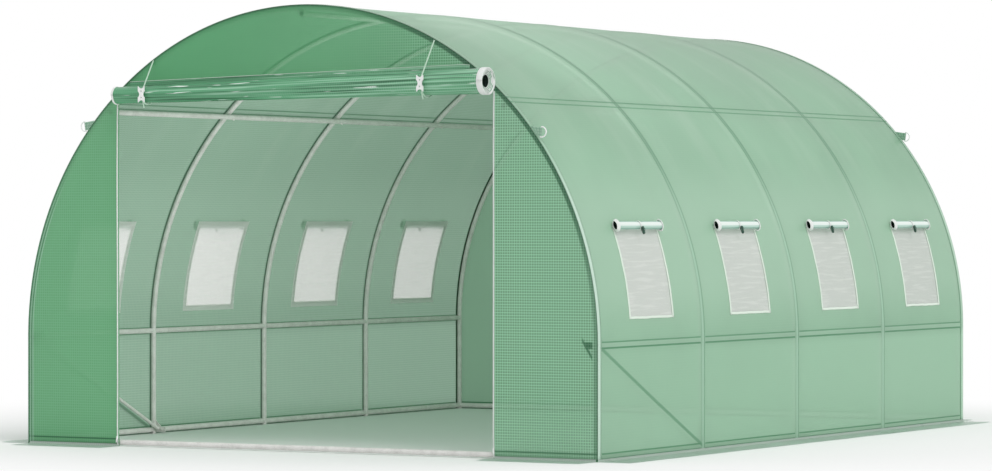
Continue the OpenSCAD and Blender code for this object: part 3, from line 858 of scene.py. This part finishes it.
def make_edges():
    """The doubled margin of the cover over each end hoop, and its seam."""
    for name, end in (("front", -1), ("rear", 1)):
        bm = bmesh.new()
        sweep(bm, *arch_path(end * (END_Y - EDGE_W / 2), EDGE_LIFT), strap(EDGE_W, EDGE_T))
        solid(bm, f"{name}_edge", "edge")
        bm = bmesh.new()
        stitch_row(bm, *arch_path(end * (END_Y - EDGE_W + STITCH_INSET), STITCH_LIFT))
        piece(bm, f"{name}_edge_stitches", "thread")


# Flaps on the ground
FLAP_TURN_R = 0.008
FLAP_TUCK = 0.004
FLAP_LIFT = 0.001
FLAP_WAVE = 0.004
FLAP_STEPS = (0.02, 0.035)


def ground_flap(word, start, out, along, length, seed):
    """A strip that turns out from the wall's foot and lies on the ground."""
    turn_r = FLAP_TURN_R
    bend_stops = [turn_r * share for share in shares(4)]
    stops = [-FLAP_TUCK] + bend_stops + breaks([turn_r, FLAP_W], FLAP_STEPS[0])[1:]

    def place(u, v):
        base = start + along * v
        if u <= 0:
            return base + out * FLAP_LIFT + Z * (turn_r - u)
        if u <= turn_r:
            bend = u / turn_r * pi / 2
            reach = turn_r * (1 - cos(bend)) + FLAP_LIFT
            return base + out * reach + Z * (turn_r * (1 - sin(bend)) + FLAP_LIFT)
        loose = (u - turn_r) / (FLAP_W - turn_r)
        edge = FLAP_WAVE * (wave(v * 3.0, seed, 2.0) - 1) * loose
        lift = max(0.0, FLAP_WAVE * (0.5 + wave(u * 7.0, v * 4.2, seed))) * min(1.0, loose * 3)
        return base + out * (u + edge) + Z * (FLAP_LIFT + lift)

    made = sheet(f"flap_{word}", "flap", stops, breaks([0.0, length], FLAP_STEPS[1]), place,
                 f"{word}_ground_flap", flip=along.cross(out).z > 0)


def make_flaps():
    corner = COVER_R - FLAP_SET
    flaps = (("right", (COVER_R, -END_Y), X, Y, 2 * END_Y),
             ("left", (-COVER_R, -END_Y), -X, Y, 2 * END_Y),
             ("front_right", (DOOR_HALF, -END_Y), -Y, X, corner - DOOR_HALF),
             ("front_left", (-corner, -END_Y), -Y, X, corner - DOOR_HALF),
             ("rear", (-corner, END_Y), Y, X, 2 * corner))
    for seed, (word, start, out, along, length) in enumerate(flaps, 1):
        ground_flap(word, Vector((*start, 0)), out, along, length, seed)


# Windows
WINDOW_STEP = 0.024
NET_SET = 0.0012
NET_SAG = 0.004
NET_WAVE = 0.0012
HEM_W = 0.0135
HEM_FOOT_W = 0.011
HEM_T = 0.0016
HEM_LIFT = 0.0012
HEM_WAVE = 0.0022
HEM_STEPS = 24
CURL_FLAT = 0.7
CURL_STEPS = 22
FLAP_CREASE = 0.0009
FLAP_PINCH = 0.0022
FLAP_PINCH_W = 0.018
RIM_R = 0.0255
RIM_FLAT = 0.62
RIM_SET = 0.003
RIM_SIDES = 40
RIM_PROFILE = [(-0.011, -0.0054), (-0.004, -0.0032), (-0.001, 0.0008), (0.0015, 0.0027), (0.004, 0.003),
               (0.005, 0.0018), (0.005, -0.0012), (0.003, -0.0026), (-0.004, -0.0048), (-0.011, -0.0066)]
TIE_LIFT = 0.0012
TIE_SIZE = (0.009, 0.0014)
TIE_SIDES = 32
TOGGLE_LIFT = 0.002
TOGGLE_TURN = -0.5
TOGGLE_OUT = 0.005
TOGGLE_SIDES = 14
TOGGLE_PROFILE = ((0.0, 0.0018), (0.002, 0.006), (0.008, 0.0072), (0.014, 0.0054), (0.02, 0.0054),
                  (0.027, 0.0072), (0.034, 0.0058), (0.037, 0.002))
LOOP_AT = 0.015
LOOP_R = 0.009
LOOP_D = 0.0024


def side_s(side, t):
    """Metres along the cover for t metres above the upright wall, on the right (1) or the left."""
    return WALL_H + t if side > 0 else SKIN_L - WALL_H - t


def window_net(side, mid, name, node):
    low, high = WINDOW_SILL - NET_SEAM, WINDOW_SILL + WINDOW + NET_SEAM
    half = WINDOW / 2 + NET_SEAM

    def place(t, y):
        sag = NET_SAG * sin(pi * (t - low) / (high - low)) * cos(pi * (y - mid) / 2 / half)
        return skin_point(side_s(side, t), y, NET_WAVE * wave(t * 9.0, y * 6.0, side * 3.0) - NET_SET - sag)

    made = sheet(name, "net", breaks([low, high], WINDOW_STEP),
                 breaks([mid - half, mid + half], WINDOW_STEP), place, node, flip=side > 0)


def hem_strip(bm, side, ends, offset):
    """A white tape sewn round the window's edge, from one (t, y) point to the other."""
    (t0, y0), (t1, y1) = ends
    path, ups = [], []
    for share in shares(HEM_STEPS):
        t, y = t0 + (t1 - t0) * share, y0 + (y1 - y0) * share
        shift = HEM_WAVE * wave(t * 16.0, y * 16.0, offset)
        t, y = (t + shift, y) if t0 == t1 else (t, y + shift)
        s = side_s(side, t)
        path.append(skin_point(s, y, HEM_LIFT))
        ups.append(skin_frame(s)[1])
    sweep(bm, path, ups, strap(HEM_FOOT_W if t0 == t1 else HEM_W, HEM_T))


def window_hem(side, mid, name):
    bm = bmesh.new()
    low, high = WINDOW_SILL, WINDOW_SILL + WINDOW
    y0, y1 = mid - WINDOW / 2, mid + WINDOW / 2
    foot = low - HEM_FOOT_W / 2
    hem_strip(bm, side, ((foot, y0), (high, y0)), mid + 0.3)
    hem_strip(bm, side, ((foot, y1), (high, y1)), mid + 1.9)
    hem_strip(bm, side, ((low, y0), (low, y1)), mid + 2.7)
    solid(bm, name, "hem")


def roll_axis(side, mid):
    """Middle of a window roll, with its outward and upward directions."""
    out = Vector((side * cos(CURL_ANGLE), 0, sin(CURL_ANGLE)))
    up = Vector((-side * sin(CURL_ANGLE), 0, cos(CURL_ANGLE)))
    return out * CURL_AT + Vector((0, mid, WALL_H)), out, up


def on_curl(axis, r, turn, flat):
    """A point round a window roll, which lies flattened against the cover."""
    middle, out, up = axis
    reach = flat * r * cos(turn) - (1 - CURL_FLAT) * CURL_R
    return middle + out * reach + up * (r * sin(turn))


def around_roll(axis, r, flat, count):
    """A path once round a window roll, and the outward direction at each point."""
    out, up = axis[1:]
    turns = [2 * pi * share for share in shares(count)]
    return ([on_curl(axis, r, turn, flat) for turn in turns],
            [out * cos(turn) + up * sin(turn) for turn in turns])


def spiral(core, outer, turns, share):
    return core + (outer - core) * share, 2 * pi * turns * share


def window_roll(side, mid, name, node):
    axis = roll_axis(side, mid)

    def place(share, y):
        r, turn = spiral(CURL_CORE, CURL_R, CURL_TURNS, share)
        crease = FLAP_CREASE * wave(turn * 1.7, y * 3.0, mid)
        pinch = FLAP_PINCH * exp(-((y / FLAP_PINCH_W) ** 2)) * share
        return on_curl(axis, r + (crease - pinch) * share, turn + pi, CURL_FLAT) + Y * y

    ys = breaks([-CURL_L / 2, CURL_L / 2], MESH_STEP)
    made = sheet(name, "pale", shares(CURL_TURNS * CURL_STEPS), ys, place, node,
                 uv=lambda share, y: (share * FLAP_CUT_H, y))


def window_rims(side, mid, name):
    """The tape along the flap's sides, wound up into a flared rim at each end of the roll."""
    bm = bmesh.new()
    path, rays = around_roll(roll_axis(side, mid), RIM_R, RIM_FLAT, RIM_SIDES)
    for end in (-1, 1):
        shift = Vector((0, end * (CURL_L / 2 - RIM_SET), 0))
        profile = [(-side * end * a, b) for a, b in RIM_PROFILE]
        sweep(bm, [point + shift for point in path], rays, profile, caps=False)
    bmesh.ops.remove_doubles(bm, verts=bm.verts, dist=1e-6)
    solid(bm, name, "tape")


def toggle(bm, head, lean, out):
    """A waisted toggle that hangs down from head, with its loop of cord."""
    across = lean.cross(out).normalized()
    deep = across.cross(lean)
    loft(bm, [[bm.verts.new(head + lean * run + (across * a + deep * b) * radius)
               for a, b in oval(2.0, 2.0, TOGGLE_SIDES)] for run, radius in TOGGLE_PROFILE], smooth=True)
    turns = [2 * pi * share for share in shares(16)]
    loop = [head + lean * LOOP_AT + (deep * cos(t) + lean * sin(t)) * LOOP_R for t in turns]
    sweep(bm, loop, [across] * len(loop), oval(LOOP_D, LOOP_D, 8))


def window_tie(side, mid, name, node):
    """A strap round the roll, and the dark toggle that hangs from it on a loop."""
    axis = roll_axis(side, mid)
    out = axis[1]
    bm = bmesh.new()
    sweep(bm, *around_roll(axis, CURL_R + TIE_LIFT, CURL_FLAT, TIE_SIDES), strap(*TIE_SIZE))
    solid(bm, f"{name}_strap", "tape", node)
    bm = bmesh.new()
    head = on_curl(axis, CURL_R + TOGGLE_LIFT, TOGGLE_TURN, CURL_FLAT) + out * TOGGLE_OUT
    toggle(bm, head, Vector((side * 0.12, 0.25, -1)).normalized(), out)
    solid(bm, f"{name}_toggle", "dark")


def make_windows():
    for word, side in (("right", 1), ("left", -1)):
        for k, mid in enumerate(BAY_YS, 1):
            window_net(side, mid, f"net_{word}_{k}", f"{word}_window_nets")
            window_hem(side, mid, f"window_hem_{word}_{k}")
            window_roll(side, mid, f"window_roll_{word}_{k}", f"{word}_window_rolls")
            window_rims(side, mid, f"window_rims_{word}_{k}")
            window_tie(side, mid, f"window_tie_{word}_{k}", f"{word}_window_ties")


# Rolled door
TIES = (-0.7949, 0.6895)
DOOR_STEPS = 44
DOOR_MESH_STEP = 0.025
DOOR_CREASE = 0.0016
DOOR_PINCH = 0.0035
DOOR_PINCH_W = 0.022
DOOR_SLACK = 0.0012
NEAR_TIE = 0.04
ROLL_HOLLOW = 0.018
ROLL_HOLLOW_L = 0.12
TAPE_STEPS = 36
TAPE_T = 0.0046
TAPE_CORE = ROLL_CORE + 0.0034
TAPE_R = ROLL_R + 0.0005
END_TAPES = ((ROLL_RIGHT.x - 0.0145, 0.03, ROLL_HOLLOW), (ROLL_LEFT.x + 0.0045, 0.01, 0.0))
LEAF_RISE = 0.022
LEAF_ENDS = (-0.925, 0.868)
LEAF_CUT_H = 0.08
LEAF_CUT_START = 0.3
LEAF_ROWS = 8
LEAF_BULGE = 0.0015
LEAF_FOOT_LIFT = 0.0045
LEAF_LIFT = 0.002
LEAF_SEAM = (0.003, 0.0014)
LEAF_SEAM_LIFT = 0.003
RIM_GAP = 0.008


def roll_at(x):
    """Middle and radius share of the door roll at x."""
    share = (ROLL_RIGHT.x - x) / (ROLL_RIGHT.x - ROLL_LEFT.x)
    return ROLL_RIGHT.lerp(ROLL_LEFT, share), 1 + (ROLL_TAPER - 1) * share


def end_tape(bm, x, band, hollow):
    """The tape wound up with the film's edge, band wide, its inner turns set back by hollow."""
    middle, scale = roll_at(x)
    path, ups = [], []
    for share in shares(ROLL_TURNS * TAPE_STEPS):
        r, turn = spiral(TAPE_CORE * scale, TAPE_R * scale, ROLL_TURNS, share)
        turn += pi / 2
        ray = Vector((0, -sin(turn), cos(turn)))
        path.append(middle + ray * r - X * (hollow * (1 - share)))
        ups.append(ray)
    sweep(bm, path, ups, strap(band, TAPE_T * scale))


def make_door():
    def place(share, x):
        middle, scale = roll_at(x)
        r, turn = spiral(ROLL_CORE, ROLL_R, ROLL_TURNS, share)
        streak = wave(turn * 2.6, x * 1.5, 2.2) + 0.5 * wave(turn * 6.0, x * 2.6, 8.1)
        pinch = sum(DOOR_PINCH * exp(-(((x - tie) / DOOR_PINCH_W) ** 2)) for tie in TIES)
        r = r * scale + share * share * (DOOR_CREASE * streak - pinch) - DOOR_SLACK * share
        turn += pi / 2
        set_back = ROLL_HOLLOW * (1 - share) * max(0.0, 1 - (ROLL_RIGHT.x - x) / ROLL_HOLLOW_L)
        return middle + Vector((-set_back, -r * sin(turn), r * cos(turn)))

    near_ties = [tie + d for tie in TIES for d in (-NEAR_TIE, 0.0, NEAR_TIE)]
    stops = breaks(sorted([ROLL_LEFT.x, ROLL_RIGHT.x] + near_ties), DOOR_MESH_STEP)
    door = sheet("door_roll", "roll", shares(ROLL_TURNS * DOOR_STEPS), stops, place, "rolled_door",
                 uv=lambda share, x: (DOOR_CUT_H * share, x))
    bm = bmesh.new()
    for x, band, hollow in END_TAPES:
        end_tape(bm, x, band, hollow)
    solid(bm, "door_roll_tape", "tape")


def leaf_seam(x, lift):
    """The leaf's upper edge at x, lift in front of the header."""
    middle, scale = roll_at(x)
    z = min(middle.z + ROLL_R * scale + LEAF_RISE, panel_top(x) - RIM_GAP)
    return Vector((x, -END_FILM_Y - end_bulge(x, z, FRONT_SEED, True) - lift, z))


def make_leaf():
    """The strip of the door between its seam on the header and the roll."""
    def place(share, x):
        low = Vector((x, -END_FILM_Y - LEAF_FOOT_LIFT, roll_at(x)[0].z))
        point = low.lerp(leaf_seam(x, LEAF_LIFT), share)
        point.y -= LEAF_BULGE * sin(pi * share) * (1 + wave(x * 9.0, share * 2.0, 5.0))
        return point

    xs = breaks(LEAF_ENDS, MESH_STEP)
    leaf = sheet("door_leaf", "roll", shares(LEAF_ROWS), xs, place,
                 uv=lambda share, x: (LEAF_CUT_START + share * LEAF_CUT_H, x))
    bm = bmesh.new()
    sweep(bm, [leaf_seam(x, LEAF_SEAM_LIFT) for x in xs], [-Y] * len(xs), strap(*LEAF_SEAM))
    solid(bm, "door_leaf_seam", "thread")


# Door ties
DOOR_TIE_LIFT = 0.0025
DOOR_TIE_SIZE = (0.007, 0.0045)
DOOR_TIE_TOP_R = PANEL_R - 0.004
DOOR_TIE_TOP_LIFT = 0.003
DOOR_TIE_STOP = 2 * pi - 0.25
DOOR_TIE_STEPS = (14, 32)
KNOT_TURN = pi + 0.62
TAIL_SIZE = (0.006, 0.004)
TAIL_STEPS = 6


def make_door_tie(name, x):
    """A cord from the arch seam down over the roll and round it, with a short tail under the toggle."""
    middle, scale = roll_at(x)
    r = ROLL_R * scale + DOOR_TIE_LIFT
    top = Vector((x, -END_Y - DOOR_TIE_TOP_LIFT, WALL_H + sqrt(DOOR_TIE_TOP_R ** 2 - x * x)))
    gap = Vector((top.y - middle.y, top.z - middle.z))
    first = atan2(gap.y, gap.x) + acos(r / gap.length)

    def on_roll(turn):
        ray = Vector((0, cos(turn), sin(turn)))
        return middle + ray * r, ray

    touch, ray = on_roll(first)
    path = [top.lerp(touch, share) for share in shares(DOOR_TIE_STEPS[0])[:-1]]
    ups = [ray] * len(path)
    for share in shares(DOOR_TIE_STEPS[1]):
        point, ray = on_roll(first + (DOOR_TIE_STOP - first) * share)
        path.append(point)
        ups.append(ray)
    bm = bmesh.new()
    sweep(bm, path, ups, oval(*DOOR_TIE_SIZE))
    knot, ray = on_roll(KNOT_TURN)
    tail = [knot + ray * (0.004 + 0.0016 * k) + Vector((0.0024 * k, 0, -0.0055 * k))
            for k in range(TAIL_STEPS)]
    sweep(bm, tail, [ray] * TAIL_STEPS, oval(*TAIL_SIZE))
    solid(bm, name, "cord", "door_ties")


# Zips
ZIP_PLACES = {1: DOOR_HALF + 0.0035, -1: -DOOR_HALF - 0.0085}
ZIP_SIZE = (0.007, 0.0012)
ZIP_ENDS = (0.003, DOOR_HEAD_Z)
ZIP_STEP = 0.05
ZIP_LIFT = 0.0008
TOOTH = 0.0032
TOOTH_L = 0.0036
TOOTH_SET = 0.0026
TOOTH_LIFT = 0.0022
TOOTH_START = 0.008
TOOTH_PROFILE = [(TOOTH * 0.4 * a, 0.0009 * b) for a, b in ((1, -1), (1, 1), (-1, 1), (-1, -1))]
SLIDER_Z = 0.04
SLIDER_SIZE = (0.009, 0.0036)
PULL_SIZE = (0.006, 0.0016)
SLIDER_STEPS = 8


def make_zip(name, side):
    """A woven tape along the doorway's edge with a row of teeth, and a slider at its foot."""
    x = ZIP_PLACES[side]
    out = -Y

    def front(z, lift):
        return -END_Y - end_bulge(x, z, FRONT_SEED, True) - lift

    bm = bmesh.new()
    path = [Vector((x, front(z, ZIP_LIFT), z)) for z in breaks(ZIP_ENDS, ZIP_STEP)]
    sweep(bm, path, [out] * len(path), strap(*ZIP_SIZE))
    for k in range(int((DOOR_HEAD_Z - 0.01) / (2 * TOOTH))):
        z = TOOTH_START + 2 * TOOTH * k
        for way in (-1, 1):
            start = Vector((x + way * TOOTH_SET, front(z, TOOTH_LIFT), z + (TOOTH if way > 0 else 0)))
            sweep(bm, [start, start - X * (way * TOOTH_L)], [out] * 2, TOOTH_PROFILE)
    solid(bm, name, "tape", "door_zips")
    bm = bmesh.new()
    slide = [Vector((x, front(SLIDER_Z, 0.0035), 0.03 + 0.0025 * k)) for k in range(SLIDER_STEPS)]
    sweep(bm, slide, [out] * SLIDER_STEPS, strap(*SLIDER_SIZE))
    pull = [Vector((x + side * 0.0005 * k, front(SLIDER_Z, 0.0061 + 0.0002 * k), 0.046 - 0.004 * k))
            for k in range(SLIDER_STEPS)]
    sweep(bm, pull, [out] * SLIDER_STEPS, strap(*PULL_SIZE))
    solid(bm, f"{name}_slider", "white")


# Guy tabs
TAB_ANGLE = radians(40.5)
TAB_ANGLE_FRONT_RIGHT = radians(38)
TAB_TILT = radians(-8)
TAB_Y = 1.995
TAB_W = 0.038
TAB_REACH = 0.036
TAB_LOOP_R = 0.0048
TAB_HALF_T = 0.0012
TAB_STEP = 0.006


def make_tab(name, side, end):
    """A doubled tab of film looped round the ring's bar."""
    angle = TAB_ANGLE_FRONT_RIGHT if (side, end) == (1, -1) else TAB_ANGLE
    foot = Vector((side * COVER_R * cos(angle), end * TAB_Y, WALL_H + COVER_R * sin(angle)))
    out = Vector((side * cos(TAB_TILT), 0, sin(TAB_TILT)))
    wide = Vector((-side * sin(TAB_TILT), 0, cos(TAB_TILT)))
    runs = [TAB_REACH * k / 6 for k in range(6)]
    turns = [radians(70 - 20 * k) for k in range(8)]
    outline = [(a, TAB_HALF_T) for a in runs]
    outline += [(TAB_REACH + TAB_LOOP_R * cos(t), TAB_LOOP_R * sin(t)) for t in turns]
    outline += [(a, -TAB_HALF_T) for a in reversed(runs)]

    def place(k, w):
        a, d = outline[k]
        start = -w * tan(angle - TAB_TILT)
        reach = start + (TAB_REACH - start) * a / TAB_REACH if a < TAB_REACH else a
        return foot + out * reach + wide * w + Y * d

    rows = breaks([-TAB_W / 2, TAB_W / 2], TAB_STEP)
    made = sheet(name, "tab", list(range(len(outline))), rows, place, "guy_tabs",
                 uv=lambda k, w: (k * TAB_STEP, w))


def make_tabs():
    for word, side in (("right", 1), ("left", -1)):
        for where, end in (("front", -1), ("rear", 1)):
            make_tab(f"guy_tab_{where}_{word}", side, end)


# Bolts
HEAD_PROFILE = ((0.0, 0.92), (0.12, 1.0), (0.85, 1.0), (1.0, 0.86))
WASHER_T = 0.0014
WASHER = (WASHER_T, 0.0068, 18)
THREAD = (0.004, 0.003, 14)
CLIP_HEAD = (0.0042, 0.0056, 6)
PURLIN_HEAD = (0.0045, 0.0058, 6)
CLIP_GRIP = 0.0066
CLIP_SET = 0.0017
CLIP_IN = 0.04


def fastener(bm, middle, axis, reach, radius, count):
    """A washer, head, nut or thread end of count sides with eased corners, reach long along axis."""
    side = axis.cross(Y if abs(axis.y) < 0.9 else X).normalized()
    up = side.cross(axis)
    rays = [side * cos(2 * pi * k / count) + up * sin(2 * pi * k / count) for k in range(count)]
    loft(bm, [[bm.verts.new(middle + axis * reach * run + ray * radius * scale) for ray in rays]
              for run, scale in HEAD_PROFILE])


def clip_bolt(bm, middle, axis):
    """Washer and head at one end of the grip, washer, nut and thread end at the other."""
    for way in (-1, 1):
        seat = middle + axis * way * CLIP_GRIP / 2
        fastener(bm, seat, axis * way, *WASHER)
        fastener(bm, seat + axis * way * WASHER_T, axis * way, *CLIP_HEAD)
    fastener(bm, middle + axis * (CLIP_GRIP / 2 + WASHER_T + CLIP_HEAD[0]), axis, *THREAD)


def make_bolts():
    bm = bmesh.new()
    for turn in PURLIN_TURNS:
        out = Vector((cos(turn), 0, sin(turn)))
        for y in HOOP_YS:
            seat = out * (PURLIN_R - TUBE_R) + Vector((0, y, WALL_H))
            fastener(bm, seat, -out, *WASHER)
            fastener(bm, seat - out * WASHER_T, -out, *PURLIN_HEAD)
            fastener(bm, seat - out * (WASHER_T + PURLIN_HEAD[0]), -out, *THREAD)
    for side in (-1, 1):
        x = side * (HOOP_R - TUBE_R - CLIP_IN)
        clip_bolt(bm, Vector((x, HOOP_YS[0] + CLIP_SET, BRACE_TOP[1])), Y)
        clip_bolt(bm, Vector((x, HOOP_YS[1] - CLIP_SET, BRACE_FOOT[1])), -Y)
    solid(bm, "bolts", "steel")


# Solids that keep their own shape
STEEL_NODES = ("hoop", "purlin", "rail", "brace", "clips")


def dress_solids():
    for name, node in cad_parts.items():
        if not node.hide_render:
            node.data.materials.clear()
            node.data.materials.append(LOOKS["steel" if name.endswith(STEEL_NODES) else "white"][0])


# Stage, light and camera
FLOOR_COLOUR = (0.94, 0.94, 0.94, 1.0)
FLOOR_HALF = 60.0
FLOOR_FADE = (2.4, 4.6)
WORLD_LIGHT = 0.72
SUN_LIGHT = 1.15
SUN_ANGLE = radians(35)
SUN_AIM = Vector((-0.75, 0.35, -0.9))
INSIDE_LIGHT = 18.5
INSIDE_SIZE = 0.6
INSIDE_SPREAD = radians(170)
INSIDE_AT = (0.8, -1.62, 0.8)
INSIDE_AIM = Vector((-1.0, 0.75, 0.12))
CAMERA_AT = Vector((9.563, -17.158, 1.039))
CAMERA_TURN = radians(29.4686)
CAMERA_DOWN = radians(0.2252)
CAMERA_LENS = 145.54
CAMERA_SENSOR = 36.0
CAMERA_REACH = 200.0


def aim(made, direction):
    made.rotation_euler = direction.to_track_quat("-Z", "Y").to_euler()


def seen(tree):
    """1 for what the camera, gloss and glass see, and 0 for what only lights the object."""
    path = add(tree, "LightPath")
    camera, gloss, glass = [Field(tree, path.outputs[f"Is {ray} Ray"])
                            for ray in ("Camera", "Glossy", "Transmission")]
    return camera | gloss | glass


def make_floor():
    made, tree, surface = new_material("Floor")
    fade = length_of(tree, place_of(tree)).ramp(*FLOOR_FADE) * seen(tree)
    plain = add(tree, "BsdfDiffuse", {"Color": FLOOR_COLOUR})
    white = add(tree, "Emission", {"Strength": 1.0})
    both = add(tree, "MixShader", {0: fade, 1: plain.outputs[0], 2: white.outputs[0]})
    tree.links.new(both.outputs[0], surface)
    bm = bmesh.new()
    bmesh.ops.create_grid(bm, x_segments=8, y_segments=8, size=FLOOR_HALF)
    mesh = bpy.data.meshes.new("floor")
    bm.to_mesh(mesh)
    bm.free()
    mesh.materials.append(made)
    floor = place_object("floor", mesh)
    return floor


def make_world():
    world = bpy.data.worlds.new("Studio")
    bpy.context.scene.world = world
    world.use_nodes = True
    tree = world.node_tree
    tree.nodes.clear()
    strength = seen(tree).ramp(0, 1, WORLD_LIGHT, 1)
    sky = add(tree, "Background", {"Color": WHITE, "Strength": strength})
    tree.links.new(sky.outputs[0], add(tree, "OutputWorld").inputs["Surface"])


def make_lamps(floor):
    """A soft sun, and a soft lamp inside the tunnel that leaves the floor alone."""
    sun = bpy.data.lights.new("Key", "SUN")
    sun.energy = SUN_LIGHT
    sun.angle = SUN_ANGLE
    aim(place_object("Key", sun), SUN_AIM)
    inside = bpy.data.lights.new("Inside", "AREA")
    inside.energy = INSIDE_LIGHT
    inside.size = INSIDE_SIZE
    inside.spread = INSIDE_SPREAD
    fill = place_object("Inside", inside)
    fill.location = INSIDE_AT
    aim(fill, INSIDE_AIM)
    fill.visible_camera = False
    fill.visible_glossy = False
    unlit = bpy.data.collections.new("Unlit_inside")
    unlit.objects.link(floor)
    unlit.collection_objects[0].light_linking.link_state = "EXCLUDE"
    fill.light_linking.receiver_collection = unlit


def make_camera():
    data = bpy.data.cameras.new("Camera")
    data.lens = CAMERA_LENS
    data.sensor_width = CAMERA_SENSOR
    data.sensor_fit = "HORIZONTAL"
    data.clip_end = CAMERA_REACH
    camera = place_object("Camera", data)
    camera.location = CAMERA_AT
    flat = cos(CAMERA_DOWN)
    aim(camera, Vector((-sin(CAMERA_TURN) * flat, cos(CAMERA_TURN) * flat, -sin(CAMERA_DOWN))))
    bpy.context.scene.camera = camera


make_camera()
make_world()
make_lamps(make_floor())
make_cover()
make_end_walls()
make_edges()
make_flaps()
make_windows()
make_door()
make_leaf()
make_door_tie("door_tie_left", TIES[0])
make_door_tie("door_tie_right", TIES[1])
make_zip("zip_left", -1)
make_zip("zip_right", 1)
make_tabs()
make_bolts()
dress_solids()
bpy.context.scene.view_settings.view_transform = "Standard"
